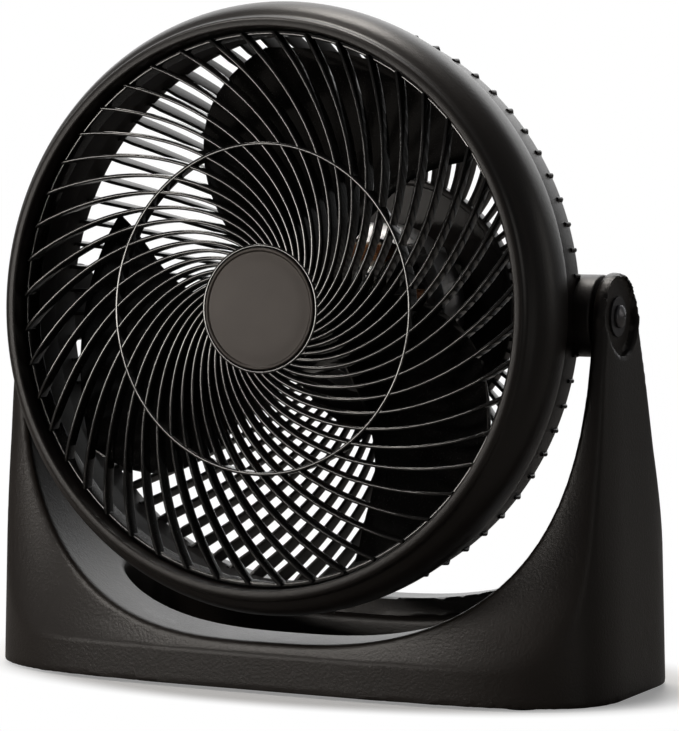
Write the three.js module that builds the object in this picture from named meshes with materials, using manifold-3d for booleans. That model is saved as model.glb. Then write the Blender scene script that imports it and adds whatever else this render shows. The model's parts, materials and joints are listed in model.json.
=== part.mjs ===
// Air circulator fan: a round tilting head between the arms of a one-piece U-shaped stand.
// Millimetres, +Z up, the front faces -Y. The origin is the bottom centre of the whole object.
import * as THREE from 'three';
import { mergeVertices } from 'three/addons/utils/BufferGeometryUtils.js';
import Module from 'manifold-3d';

const wasm = await Module();
wasm.setup();

// ---------------------------------------------------------------- driving dimensions
const CLEAR = 0.3; // gap kept between pieces that sit in each other
const SEAT = 0.05; // gap kept between flat faces that rest on each other

// head: radii about the fan axis, and distances ahead of the tilt axis
const HEAD_RADIUS = 123.1;
const HEAD_WIDEST = 34.5;
const LIP_RADIUS = HEAD_RADIUS - 7.9;
const LIP_WIDTH = 3.4;
const LIP_INNER_RADIUS = LIP_RADIUS - LIP_WIDTH;
const LIP_FRONT = 55.8;
const SEAM_RADIUS = HEAD_RADIUS - 2.8;
const SEAM_FRONT = 22.8;
const SKIN = 2.4; // thickness of the moulded skins
const DUCT_GAP = 7; // between the seam's circle and the inlet ring's outside
const DUCT_RADIUS = SEAM_RADIUS - DUCT_GAP;
const DUCT_BACK = 7.6;
const GRILLE_LEDGE = 1.6;

// stand, measured from the floor and from the tilt axis
const TROUGH_SIDE_GAP = 5.1; // from the head to the arms
const TROUGH_HALF_WIDTH = HEAD_RADIUS + TROUGH_SIDE_GAP; // U-shaped opening between the arms
const ARM_THICKNESS = 11;
const STAND_HALF_WIDTH = TROUGH_HALF_WIDTH + ARM_THICKNESS;
const SWEPT_RADIUS = Math.hypot(LIP_RADIUS + 3, LIP_FRONT - LIP_WIDTH); // of the lip, as the head tilts
const TROUGH_SWEEP_GAP = 1.95;
const TROUGH_DEPTH = SWEPT_RADIUS + TROUGH_SWEEP_GAP; // below the tilt axis
const TROUGH_POWER = 2.77;
const TROUGH_FLOOR = 20.45;
const PIVOT_HEIGHT = TROUGH_FLOOR + TROUGH_DEPTH;
const STAND_FRONT = 57.5; // front of the footprint, ahead of the tilt axis
const STAND_BACK = 65;
const FRONT_BOW = 8.5; // how far the front curves back towards the corners
const BACK_BOW = 5;
const WIDEST_Y = 3; // where the footprint is widest, behind the tilt axis
const CORNER_POWER = 3.9; // superellipse power of the footprint's front corners
const BACK_CORNER_POWER = 6; // the back corners are squarer
const ARM_LEAN = 4.2; // how far the outer walls lean in by the height of the tilt axis
const ARM_RADIUS = 17.8; // round top of each arm
const FRONT_EDGE_HEIGHT = TROUGH_FLOOR - 4.45; // crease where the skirt meets the scooped front
const SKIRT_HEIGHT = FRONT_EDGE_HEIGHT / 2;
const BAND_INSET = 2; // rounded band between the skirt and the crease
const WALL = 2.8;
const BACK_BAR_HEIGHT = TROUGH_FLOOR + 7.55;
const BACK_BAR_FRONT = 41;
const FOOT_RADIUS = 8;
const FOOT_HEIGHT = 3;
const SHELL_LIFT = 1.2; // the skirt's edge above the floor
const FOOT_X = STAND_HALF_WIDTH - 33.2;
const FOOT_FRONT_Y = -STAND_FRONT + 24.5;
const FOOT_BACK_Y = STAND_BACK - 22;
const WELL_HALF_WIDTH = FOOT_X - FOOT_RADIUS - 6; // opening through the foot of the U
const WELL_FRONT = 18;
const WELL_BACK = BACK_BAR_FRONT - 3;
const WELL_POWER = 3.4;

// pivots
const TILT_DEG = 2.5; // the head leans back this far at rest
const BOSS_RADIUS = 16.3;
const SPACER_THICKNESS = 0.8;
const SPACER_RADIUS = 10;
const PIVOT_RECESS_RADIUS = 15.5;
const PIVOT_WALL = 3.6; // left under the recess
const PIVOT_RECESS_FLOOR = TROUGH_HALF_WIDTH + PIVOT_WALL;
const PIVOT_SCREW_RADIUS = 2;
const PIVOT_SCREW_DEPTH = 12; // thread length inside the boss
const PIVOT_HEAD_RADIUS = 4.6;
const PIVOT_HEAD_HEIGHT = 2.4;
const PIVOT_WASHER_RADIUS = 8;
const PIVOT_WASHER_THICKNESS = 0.8;

// front grille
const RIB_COUNT = 48;
const RIB_SWIRL = 0.935; // turn in radians for each e-fold of radius
const RIB_WIDTH = 1.5;
const RIB_DEPTH = 6;
const HUB_RADIUS = 24.3;
const GRILLE_FRONT = LIP_FRONT - 4.6;
const MID_RING_RADIUS = LIP_INNER_RADIUS - 46.1;
const GRILLE_RIM_RADIUS = LIP_INNER_RADIUS - 1;
const GRILLE_RIM_WIDTH = 2;
const HUB_RIM = 1.4;
const BADGE_THICKNESS = 2.2;
const BADGE_BORDER = 1.3;

// rear grille
const SLAT_COUNT = 72;
const SLAT_WIDTH = 1.8;
const SLAT_DEPTH = 4.5;
const BACK_PLATE_RADIUS = 56;
const BACK_PLATE_BACK = 78; // behind the tilt axis
const BACK_PLATE_THICKNESS = 2.5;
const BOWL_FULLNESS = 5.85; // how far the bowl bulges past a straight cone

// motor
const SHAFT_RADIUS = 3;
const BORE_RADIUS = 14;
const ROTOR_GAP = 0.5;
const STACK_LENGTH = 20;
const POLE_COUNT = 4;
const POLE_WIDTH = 10;
const POLE_SHOE = 3;
const BOBBIN_WALL = 0.9;
const BOBBIN_FLANGE = 0.8;
const WIRE_RADIUS = 0.8;
const WIRE_BEND = 1.2; // of the wire's middle line round the bobbin's corners
const COIL_TURNS = 3;
const COIL_STEPS = 12;
const TURN_PITCH = 2.1;
const bobbinFloor = BORE_RADIUS + ROTOR_GAP + POLE_SHOE + CLEAR; // the bobbin rests on the shoe
const coilFloor = bobbinFloor + BOBBIN_FLANGE + CLEAR;
const coilTop = coilFloor + 2 * WIRE_RADIUS + COIL_TURNS * TURN_PITCH;
const YOKE_GAP = 2.7; // from the last turn to the yoke
const YOKE_RADIUS = coilTop + YOKE_GAP;
const YOKE_THICKNESS = 6.5;
const STATOR_RADIUS = YOKE_RADIUS + YOKE_THICKNESS;
const BRACKET_THICKNESS = 2.2;
const BRACKET_REACH = 7; // from the stack to the bracket's plate
const BEARING_RADIUS = 7;
const BEARING_LENGTH = 7;
const RUNNING_FIT = 0.15; // from the shaft to its bearings
const BOLT_RADIUS = 1.9;
const BOLT_CIRCLE = YOKE_RADIUS + 2.9;
const BOLT_HEAD_RADIUS = 3.4;
const BOLT_HEAD_HEIGHT = 2;

// impeller
const BLADE_COUNT = 3;
const BLADE_TIP_CLEARANCE = 8.3; // to the inlet ring
const BLADE_TIP_RADIUS = DUCT_RADIUS - BLADE_TIP_CLEARANCE;
const BLADE_THICKNESS = 2;
const BLADE_FRONT = GRILLE_FRONT - 14.2;
const BLADE_BACK = -7;
const BLADE_ROOT_SPAN = 72; // degrees round the hub
const BLADE_TIP_SPAN = 68;
const BLADE_SWEEP = -29; // degrees from the middle of the root to the middle of the tip
const BLADE_START = 95.5; // degrees, direction of the first blade's middle at the root
const SPIDER_RADIUS = 27;
const SPIDER_FRONT = BLADE_FRONT - 3;
const SPIDER_BACK = 4;
const NUT_RADIUS = 7.5;
const NUT_HEIGHT = 7;

// cover, switch and knob behind the motor
const COVER_RADIUS = BACK_PLATE_RADIUS - 2;
const COVER_DEPTH = 11;
const COVER_CROWN = 4;
const KNOB_RADIUS = 14;
const KNOB_LENGTH = 13.6;
const KNOB_TOP_RADIUS = 12.2;
const SPINDLE_RADIUS = 3;
const SWITCH_SIDE = 26;
const SWITCH_DEPTH = 9;
const KNOB_DROP = COVER_RADIUS - 30; // the knob's axis below the fan axis
const GLAND_RADIUS = 5.2;
const GLAND_BORE = 3.2;
const GLAND_LENGTH = 15;
const SCREW_RADIUS = 1.6;
const SCREW_HEAD_RADIUS = 3.1;
const SCREW_HEAD_HEIGHT = 1.9;
const SCREW_LENGTH = 9;
const COVER_SCREW_COUNT = 3;
const COVER_SCREW_CIRCLE = COVER_RADIUS - 8;

const ROUND = 48; // facets of the large rings
const SMALL = 16; // facets of small turned pieces
const TINY = 8; // facets of screw shanks and their holes

// ---------------------------------------------------------------- materials
const finish = (color, roughness, metalness = 0) =>
  new THREE.MeshStandardMaterial({ color, roughness, metalness });
const shellBlack = finish(0x262220, 0.55);
const glossBlack = finish(0x151414, 0.25);
const badgeBrown = finish(0x4a4440, 0.45);
const rubberBlack = finish(0x1c1b1a, 0.85);
const steel = finish(0xb9b9b7, 0.35, 1);
const darkSteel = finish(0x55565a, 0.4, 1);
const lamination = finish(0x9b9c9e, 0.45, 1);
const copper = finish(0xb06538, 0.35, 1);
const nylon = finish(0xd8d2c4, 0.5);
const bronze = finish(0x9c7a45, 0.4, 1);
const bakelite = finish(0x3a3029, 0.5);

// ---------------------------------------------------------------- solids
function toSolid(geometry) {
  const bare = new THREE.BufferGeometry();
  bare.setAttribute('position', geometry.getAttribute('position'));
  bare.setIndex(geometry.index);
  const merged = mergeVertices(bare, 1e-4);
  const index = merged.index.array;
  const kept = [];
  for (let i = 0; i < index.length; i += 3) {
    const [a, b, c] = [index[i], index[i + 1], index[i + 2]];
    if (a !== b && b !== c && c !== a) kept.push(a, b, c);
  }
  const vertProperties = new Float32Array(merged.getAttribute('position').array);
  const triVerts = new Uint32Array(kept);
  return new wasm.Manifold(new wasm.Mesh({ numProp: 3, vertProperties, triVerts }));
}

function toGeometry(solid) {
  const { vertProperties, triVerts } = solid.getMesh();
  const indexed = new THREE.BufferGeometry();
  indexed.setAttribute('position', new THREE.BufferAttribute(vertProperties, 3));
  indexed.setIndex(new THREE.BufferAttribute(triVerts, 1));
  const geometry = indexed.toNonIndexed();
  geometry.computeVertexNormals();
  return geometry;
}

const join = (...solids) => solids.reduce((whole, next) => whole.add(next));
const cut = (solid, ...cutters) => cutters.reduce((rest, next) => rest.subtract(next), solid);
const repeat = (count, make) => Array.from({ length: count }, (_, i) => make(i));
const radians = THREE.MathUtils.degToRad;

// A closed skin through equal rings of points; the first and last ring are capped by fans.
function loft(rings) {
  const size = rings[0].length;
  const position = rings.flat().flatMap((p) => [p.x, p.y, p.z]);
  const index = [];
  for (let r = 0; r + 1 < rings.length; r += 1) {
    for (let i = 0; i < size; i += 1) {
      const a = r * size + i;
      const b = r * size + ((i + 1) % size);
      index.push(a, b, b + size, a, b + size, a + size);
    }
  }
  const last = (rings.length - 1) * size;
  for (let i = 1; i + 1 < size; i += 1) {
    index.push(0, i + 1, i, last, last + i, last + i + 1);
  }
  const geometry = new THREE.BufferGeometry();
  geometry.setAttribute('position', new THREE.Float32BufferAttribute(position, 3));
  geometry.setIndex(index);
  const solid = toSolid(geometry);
  if (solid.volume() > 0) return solid;
  for (let i = 0; i < index.length; i += 3) [index[i], index[i + 1]] = [index[i + 1], index[i]];
  geometry.setIndex(index);
  return toSolid(geometry);
}

// Turns a profile of [radius, distance ahead] round the fan axis; it closes on itself. The
// middle of one facet lies in the direction given by the angle.
function turnedRing(profile, facets = ROUND, angle = Math.PI / facets) {
  const closed = [...profile, profile[0]].map(([r, ahead]) => new THREE.Vector2(r, -ahead));
  const turn = Math.PI / facets - angle;
  const solid = toSolid(new THREE.LatheGeometry(closed, facets).rotateY(turn));
  if (solid.volume() > 0) return solid;
  return toSolid(new THREE.LatheGeometry(closed.reverse(), facets).rotateY(turn));
}

// A round bar or tube along the fan axis from one distance ahead to another.
function roundBar(radius, from, to, { bore = 0, facets = SMALL, x = 0, z = 0 } = {}) {
  const geometry = new THREE.CylinderGeometry(radius, radius, Math.abs(to - from), facets);
  geometry.translate(x, -(from + to) / 2, z);
  if (!bore) return toSolid(geometry);
  const through = new THREE.CylinderGeometry(bore, bore, Math.abs(to - from) + 2, facets);
  through.translate(x, -(from + to) / 2, z);
  return toSolid(geometry).subtract(toSolid(through));
}

// The same along X, for the pivots.
function sideBar(radius, from, to, facets = SMALL) {
  const geometry = new THREE.CylinderGeometry(radius, radius, Math.abs(to - from), facets);
  geometry.rotateZ(Math.PI / 2);
  geometry.translate((from + to) / 2, 0, 0);
  return toSolid(geometry);
}

function uprightBar(radius, bottom, top, x, y, facets = SMALL) {
  const geometry = new THREE.CylinderGeometry(radius, radius, top - bottom, facets);
  geometry.rotateX(Math.PI / 2);
  geometry.translate(x, y, (bottom + top) / 2);
  return toSolid(geometry);
}

function block(x0, x1, y0, y1, z0, z1) {
  const geometry = new THREE.BoxGeometry(x1 - x0, y1 - y0, z1 - z0);
  geometry.translate((x0 + x1) / 2, (y0 + y1) / 2, (z0 + z1) / 2);
  return toSolid(geometry);
}

// An outline of [x, z] points pushed along Y.
function pushY(outline, y0, y1) {
  const shape = new THREE.Shape(outline.map(([x, z]) => new THREE.Vector2(x, z)));
  const geometry = new THREE.ExtrudeGeometry(shape, { depth: y1 - y0, bevelEnabled: false });
  geometry.rotateX(Math.PI / 2);
  geometry.translate(0, y1, 0);
  return toSolid(geometry);
}

// An outline of [y, z] points pushed along X.
function pushX(outline, x0, x1) {
  const shape = new THREE.Shape(outline.map(([y, z]) => new THREE.Vector2(y, z)));
  const geometry = new THREE.ExtrudeGeometry(shape, { depth: x1 - x0, bevelEnabled: false });
  geometry.rotateX(Math.PI / 2);
  geometry.rotateZ(Math.PI / 2);
  geometry.translate(x0, 0, 0);
  return toSolid(geometry);
}

const onCircle = (radius, angle) => [radius * Math.cos(angle), radius * Math.sin(angle)];

// ---------------------------------------------------------------- stand
const power = (value, exponent) => Math.sign(value) * Math.abs(value) ** exponent;

// The footprint at one height: a superellipse whose front and back are bowed.
function footprint(height, inset, lean, steps = 32) {
  const width = STAND_HALF_WIDTH - inset - lean;
  const front = STAND_FRONT - inset + WIDEST_Y;
  const back = STAND_BACK - inset - WIDEST_Y;
  return repeat(steps, (i) => {
    const turn = (i / steps) * 2 * Math.PI;
    const inFront = i > steps / 2;
    const squareness = inFront ? CORNER_POWER : BACK_CORNER_POWER;
    const across = power(Math.cos(turn), 2 / squareness);
    const along = power(Math.sin(turn), 2 / squareness);
    const depth = inFront ? front : back;
    const bow = inFront ? FRONT_BOW : BACK_BOW;
    const straight = along * (depth - bow * across * across);
    return new THREE.Vector3(width * across, WIDEST_Y + straight, height);
  });
}

// The drafted outer body, with the rounded band above the skirt.
function standPrism(inset, bottom) {
  const top = PIVOT_HEIGHT + ARM_RADIUS + WALL;
  const lean = (height) => (ARM_LEAN * height) / PIVOT_HEIGHT;
  return loft([
    footprint(bottom, inset, 0),
    footprint(SKIRT_HEIGHT, inset, 0),
    footprint(FRONT_EDGE_HEIGHT, inset + BAND_INSET * 0.5, lean(FRONT_EDGE_HEIGHT)),
    footprint(top, inset + BAND_INSET * 0.5, lean(top) - BAND_INSET * 0.5),
  ]);
}

// The side view: the scooped front edge, the round arm top and the leaning back edge.
function sideView(inset) {
  const radius = ARM_RADIUS - inset;
  const crease = new THREE.Vector2(-STAND_FRONT + inset, FRONT_EDGE_HEIGHT - inset);
  const armStart = (angle) => new THREE.Vector2(...onCircle(radius, angle))
    .add(new THREE.Vector2(0, PIVOT_HEIGHT));
  const frontAngle = radians(190);
  const backAngle = radians(-20);
  const shoulder = armStart(frontAngle);
  const scoop = new THREE.CubicBezierCurve(
    crease,
    new THREE.Vector2(-STAND_FRONT * 0.56 + inset, FRONT_EDGE_HEIGHT * 2.1 - inset),
    new THREE.Vector2(-STAND_FRONT * 0.54 + inset, PIVOT_HEIGHT * 0.45),
    shoulder,
  );
  const heel = new THREE.Vector2(STAND_BACK + 8 - inset, 0);
  const below = -10;
  const backEdge = new THREE.CubicBezierCurve(
    armStart(backAngle),
    new THREE.Vector2(STAND_BACK * 0.42 - inset, PIVOT_HEIGHT * 0.72),
    new THREE.Vector2(STAND_BACK * 0.8 - inset, PIVOT_HEIGHT * 0.25),
    heel,
  );
  const top = repeat(7, (i) => armStart(frontAngle + ((i + 1) / 7) * (backAngle - frontAngle)));
  const ahead = -STAND_FRONT - 30;
  return [
    [heel.x, below],
    [ahead, below],
    [ahead, below / 2],
    ...scoop.getPoints(7).map((p) => [p.x, p.y]),
    ...top.map((p) => [p.x, p.y]),
    ...backEdge.getPoints(5).slice(1).map((p) => [p.x, p.y]),
  ];
}

// The U between the arms, as [x, z] points; it stays open at the top.
function troughOutline(depth, inset, steps = 18) {
  const width = TROUGH_HALF_WIDTH + inset;
  const high = PIVOT_HEIGHT + ARM_RADIUS + 20;
  const arc = repeat(steps + 1, (i) => {
    const turn = Math.PI + (i / steps) * Math.PI;
    const x = width * power(Math.cos(turn), 2 / TROUGH_POWER);
    const z = PIVOT_HEIGHT + (depth + inset) * power(Math.sin(turn), 2 / TROUGH_POWER);
    return [x, z];
  });
  return [[-width, high], ...arc, [width, high]];
}

function wellPrism(inset, bottom, top) {
  const middle = (WELL_BACK - WELL_FRONT) / 2;
  const half = (WELL_BACK + WELL_FRONT) / 2 + inset;
  const steps = 20;
  const ring = (height) => repeat(steps, (i) => {
    const turn = (i / steps) * 2 * Math.PI;
    const x = (WELL_HALF_WIDTH + inset) * power(Math.cos(turn), 2 / WELL_POWER);
    const y = middle + half * power(Math.sin(turn), 2 / WELL_POWER);
    return new THREE.Vector3(x, y, height);
  });
  return loft([ring(bottom), ring(top)]);
}

function standShell() {
  const far = STAND_HALF_WIDTH + 10;
  const deep = STAND_BACK + 30;
  const trough = (inset) => join(
    pushY(troughOutline(TROUGH_DEPTH, inset), -deep, BACK_BAR_FRONT - inset),
    pushY(troughOutline(PIVOT_HEIGHT - BACK_BAR_HEIGHT, inset), BACK_BAR_FRONT - inset - 1, deep),
  );
  const outer = cut(
    standPrism(0, SHELL_LIFT).intersect(pushX(sideView(0), -far, far)),
    trough(0),
    wellPrism(0, -5, PIVOT_HEIGHT / 2),
  );
  const armRoom = PIVOT_HEIGHT - ARM_RADIUS - BOSS_RADIUS / 2;
  const hollow = cut(
    standPrism(WALL, -5).intersect(pushX(sideView(WALL), -far, far)),
    trough(WALL),
    wellPrism(WALL, -10, PIVOT_HEIGHT),
    block(-far, far, -deep, deep, armRoom, PIVOT_HEIGHT * 2),
  );
  const posts = footPlaces().map(([x, y]) =>
    uprightBar(FOOT_RADIUS + 1.5, FOOT_HEIGHT + SEAT, PIVOT_HEIGHT / 2, x, y, 12));
  let shell = join(cut(outer, hollow), ...posts.map((post) => post.intersect(outer)));
  for (const side of [-1, 1]) {
    const recess = sideBar(PIVOT_RECESS_RADIUS, side * PIVOT_RECESS_FLOOR, side * far, 20);
    const bore = sideBar(PIVOT_SCREW_RADIUS + CLEAR, side * (TROUGH_HALF_WIDTH - 5), side * far, TINY);
    shell = cut(shell, lifted(recess), lifted(bore));
  }
  return shell;
}

// Moves a solid made about the tilt axis up to that axis on the stand.
function lifted(solid) {
  const geometry = toGeometry(solid);
  geometry.setIndex([...geometry.getAttribute('position').array.keys()]
    .slice(0, geometry.getAttribute('position').count));
  geometry.translate(0, 0, PIVOT_HEIGHT);
  return toSolid(geometry);
}

function footPlaces() {
  return [-1, 1].flatMap((side) => [FOOT_FRONT_Y, FOOT_BACK_Y].map((y) => [side * FOOT_X, y]));
}

// ---------------------------------------------------------------- head, in its own frame
// The skin of the front shell from the rounded lip over the widest circle to the seam, with an
// inner collar that carries the grille on a ledge.
function frontShell() {
  const collar = LIP_INNER_RADIUS - 0.5;
  const ledge = grilleLedge;
  const shell = turnedRing([
    [LIP_RADIUS, LIP_FRONT],
    [LIP_RADIUS + 3, LIP_FRONT - LIP_WIDTH],
    [HEAD_RADIUS - 2.2, (LIP_FRONT + HEAD_WIDEST) / 2 + 1],
    [HEAD_RADIUS, HEAD_WIDEST],
    [SEAM_RADIUS, SEAM_FRONT],
    [SEAM_RADIUS - SKIN, SEAM_FRONT],
    [HEAD_RADIUS - SKIN, HEAD_WIDEST],
    [LIP_RADIUS, LIP_FRONT - LIP_WIDTH - SKIN],
    [collar + SKIN, SEAM_FRONT + 3],
    [collar - GRILLE_LEDGE, SEAM_FRONT + 3],
    [collar - GRILLE_LEDGE, ledge],
    [collar, ledge],
    [LIP_INNER_RADIUS, LIP_FRONT],
  ]);
  return shell;
}

const grilleLedge = GRILLE_FRONT - RIB_DEPTH - 5; // where the grille's rim rests
const ribTurn = (radius) => RIB_SWIRL * Math.log(radius / HUB_RADIUS);

// One swirl rib: a strip on a logarithmic spiral, as deep as the rings that it joins.
function swirlRib(start, steps = 4) {
  const inner = HUB_RADIUS + CLEAR + HUB_RIM / 2;
  const outer = GRILLE_RIM_RADIUS - GRILLE_RIM_WIDTH / 2;
  const lean = Math.atan(RIB_SWIRL) + Math.PI / 2;
  const edge = (side) => repeat(steps + 1, (i) => {
    const radius = inner * (outer / inner) ** (i / steps);
    const angle = start + ribTurn(radius);
    const [x, z] = onCircle(radius, angle);
    const [nx, nz] = onCircle((side * RIB_WIDTH) / 2, angle + lean);
    return [x + nx, z + nz];
  });
  return pushY([...edge(-1), ...edge(1).reverse()], -GRILLE_FRONT, RIB_DEPTH - GRILLE_FRONT);
}

function frontGrille() {
  const back = GRILLE_FRONT - RIB_DEPTH;
  const rim = GRILLE_RIM_RADIUS;
  const ledge = grilleLedge + SEAT;
  const ribs = repeat(RIB_COUNT, (i) => swirlRib((i / RIB_COUNT) * 2 * Math.PI));
  const front = GRILLE_FRONT;
  const hub = turnedRing([
    [0, back],
    [HUB_RADIUS + CLEAR + HUB_RIM, back],
    [HUB_RADIUS + CLEAR + HUB_RIM, front],
    [HUB_RADIUS + CLEAR, front],
    [HUB_RADIUS + CLEAR, badgeSeat],
    [0, badgeSeat],
  ], RIB_COUNT / 2, ribTurn(HUB_RADIUS + CLEAR + HUB_RIM) + Math.PI / RIB_COUNT);
  const ring = turnedRing([
    [MID_RING_RADIUS + 0.7, front],
    [MID_RING_RADIUS - 0.7, front],
    [MID_RING_RADIUS - 0.7, back],
    [MID_RING_RADIUS + 0.7, back],
  ], RIB_COUNT / 2, ribTurn(MID_RING_RADIUS) + Math.PI / RIB_COUNT);
  const rimRing = turnedRing([
    [rim, front],
    [rim - GRILLE_RIM_WIDTH, front],
    [rim - GRILLE_RIM_WIDTH, ledge],
    [rim, ledge],
  ], RIB_COUNT, ribTurn(rim - GRILLE_RIM_WIDTH));
  return join(...ribs, hub, ring, rimRing);
}

const badgeSeat = GRILLE_FRONT - BADGE_THICKNESS + 1;

function hubBadge() {
  const seat = badgeSeat + SEAT;
  const edge = seat + BADGE_THICKNESS;
  return turnedRing([
    [0, seat],
    [HUB_RADIUS, seat],
    [HUB_RADIUS, edge],
    [HUB_RADIUS - BADGE_BORDER, edge],
    [HUB_RADIUS - BADGE_BORDER, edge - 0.6],
    [0, edge],
  ], 36);
}

// The bowl of the rear grille, as a curve of [radius, distance ahead].
const bowl = new THREE.CubicBezierCurve(
  new THREE.Vector2(SEAM_RADIUS - 2.2, DUCT_BACK - 1.5),
  new THREE.Vector2(SEAM_RADIUS - 6, -30),
  new THREE.Vector2((SEAM_RADIUS + BACK_PLATE_RADIUS) / 2 + BOWL_FULLNESS, -BACK_PLATE_BACK + 4),
  new THREE.Vector2(BACK_PLATE_RADIUS - 2, -BACK_PLATE_BACK + BACK_PLATE_THICKNESS / 2),
);

// One slat of the rear grille: a wedge along the bowl, widest on the outside.
function bowlSlat(angle, steps = 3) {
  const [rx, rz] = onCircle(1, angle);
  const rings = repeat(steps + 1, (i) => {
    const place = bowl.getPoint(i / steps);
    const tangent = bowl.getTangent(i / steps);
    const inward = new THREE.Vector2(tangent.y, -tangent.x);
    if (inward.x > 0) inward.negate();
    const corner = (depth, half) => {
      const radius = place.x + inward.x * depth;
      const ahead = place.y + inward.y * depth;
      return new THREE.Vector3(radius * rx - half * rz, -ahead, radius * rz + half * rx);
    };
    return [corner(0, -SLAT_WIDTH / 2), corner(0, SLAT_WIDTH / 2), corner(SLAT_DEPTH, 0)];
  });
  return loft(rings);
}

function rearGrille() {
  const rimFront = SEAM_FRONT - CLEAR;
  const outer = SEAM_RADIUS - 0.4;
  const band = turnedRing([
    [outer, rimFront],
    [outer - 1.2, DUCT_BACK - 3],
    [DUCT_RADIUS, DUCT_BACK - 3],
    [DUCT_RADIUS - 0.6, SEAM_FRONT + 2],
    [DUCT_RADIUS + SKIN - 1, SEAM_FRONT + 2],
    [DUCT_RADIUS + SKIN, DUCT_BACK + 1],
    [outer - 1.6 - SKIN, DUCT_BACK + 1],
    [outer - SKIN, rimFront],
  ], SLAT_COUNT / 2);
  const slats = repeat(SLAT_COUNT, (i) => bowlSlat(((i + 0.5) / SLAT_COUNT) * 2 * Math.PI));
  const plate = turnedRing([
    [BACK_PLATE_RADIUS, -BACK_PLATE_BACK],
    [BACK_PLATE_RADIUS, plateFront + SLAT_DEPTH],
    [BACK_PLATE_RADIUS - 3, plateFront + SLAT_DEPTH],
    [BACK_PLATE_RADIUS - 3, plateFront],
    [BEARING_RADIUS + 4, plateFront],
    [BEARING_RADIUS + 4, -BACK_PLATE_BACK],
  ], SLAT_COUNT / 2);
  const bosses = [-1, 1].map((side) => {
    const boss = sideBar(BOSS_RADIUS, side * (DUCT_RADIUS - 3), side * bossEnd(), 18);
    const inlet = roundBar(DUCT_RADIUS - 0.2, DUCT_BACK - 2.2, HEAD_WIDEST, { facets: SLAT_COUNT / 2 });
    return boss.subtract(inlet);
  });
  const screwRoom = [-1, 1].map((side) =>
    sideBar(PIVOT_SCREW_RADIUS + CLEAR / 2, side * (bossEnd() - PIVOT_SCREW_DEPTH - 1),
      side * (bossEnd() + 5), TINY));
  const coverHoles = coverScrewPlaces().map(([x, z]) =>
    roundBar(SCREW_RADIUS + CLEAR, -BACK_PLATE_BACK - 5, plateFront + 5, { x, z, facets: TINY }));
  const boltHoles = boltPlaces().map(([x, z]) =>
    roundBar(BOLT_RADIUS + CLEAR, -BACK_PLATE_BACK - 5, plateFront + 5, { x, z, facets: TINY }));
  return cut(join(band, plate, ...slats, ...bosses), ...screwRoom, ...coverHoles, ...boltHoles);
}

const bossEnd = () => TROUGH_HALF_WIDTH - SPACER_THICKNESS - 3 * CLEAR;
const boltPlaces = () => repeat(POLE_COUNT, (i) =>
  onCircle(BOLT_CIRCLE, ((i + 0.5) / POLE_COUNT) * 2 * Math.PI));
const coverScrewPlaces = () => repeat(COVER_SCREW_COUNT, (i) =>
  onCircle(COVER_SCREW_CIRCLE, radians(90) + (i / COVER_SCREW_COUNT) * 2 * Math.PI));

// ---------------------------------------------------------------- motor
const plateFront = -BACK_PLATE_BACK + BACK_PLATE_THICKNESS;
const bracketOut = BRACKET_REACH + BRACKET_THICKNESS;
const stackBack = plateFront + SEAT + bracketOut;
const stackFront = stackBack + STACK_LENGTH;

function stator() {
  const shape = new THREE.Shape();
  shape.absarc(0, 0, STATOR_RADIUS, 0, 2 * Math.PI);
  const hole = new THREE.Path();
  hole.absarc(0, 0, YOKE_RADIUS, 0, 2 * Math.PI);
  shape.holes.push(hole);
  const ring = new THREE.ExtrudeGeometry(shape, {
    depth: STACK_LENGTH, bevelEnabled: false, curveSegments: 10,
  });
  ring.rotateX(Math.PI / 2);
  ring.translate(0, -stackBack, 0);
  const inner = BORE_RADIUS + ROTOR_GAP;
  const poles = repeat(POLE_COUNT, (i) => {
    const turn = (i / POLE_COUNT) * 2 * Math.PI;
    const neck = new THREE.BoxGeometry(POLE_WIDTH, STACK_LENGTH, YOKE_RADIUS + 1 - inner);
    neck.translate(0, -(stackFront + stackBack) / 2, (YOKE_RADIUS + 1 + inner) / 2);
    const shoe = new THREE.BoxGeometry(POLE_WIDTH + 6, STACK_LENGTH, POLE_SHOE + 1);
    shoe.translate(0, -(stackFront + stackBack) / 2, inner + (POLE_SHOE - 1) / 2);
    neck.rotateY(turn);
    shoe.rotateY(turn);
    return toSolid(neck).add(toSolid(shoe));
  });
  const bore = roundBar(inner, stackFront + 5, stackBack - 5, { facets: 28 });
  const bolts = boltPlaces().map(([x, z]) =>
    roundBar(BOLT_RADIUS + CLEAR, stackFront + 5, stackBack - 5, { x, z, facets: TINY }));
  return cut(join(toSolid(ring), ...poles), bore, ...bolts);
}

// The bobbin: a sleeve round the pole with a flange against the shoe and one at the yoke.
function bobbin(turn) {
  const halfPole = POLE_WIDTH / 2 + CLEAR;
  const middle = -(stackFront + stackBack) / 2;
  const half = STACK_LENGTH / 2 + CLEAR;
  const low = bobbinFloor;
  const high = YOKE_RADIUS - 1.8;
  const slab = (out, z0, z1) => block(-halfPole - out, halfPole + out,
    middle - half - out, middle + half + out, z0, z1);
  const whole = join(slab(BOBBIN_WALL, low, high), slab(BOBBIN_WALL + 1.6, low, low + BOBBIN_FLANGE));
  return turned(cut(whole, slab(0, low - 5, high + 5)), turn);
}

function turned(solid, angle) {
  const geometry = toGeometry(solid);
  geometry.rotateY(angle);
  const count = geometry.getAttribute('position').count;
  geometry.setIndex(repeat(count, (i) => i));
  return toSolid(geometry);
}

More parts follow.
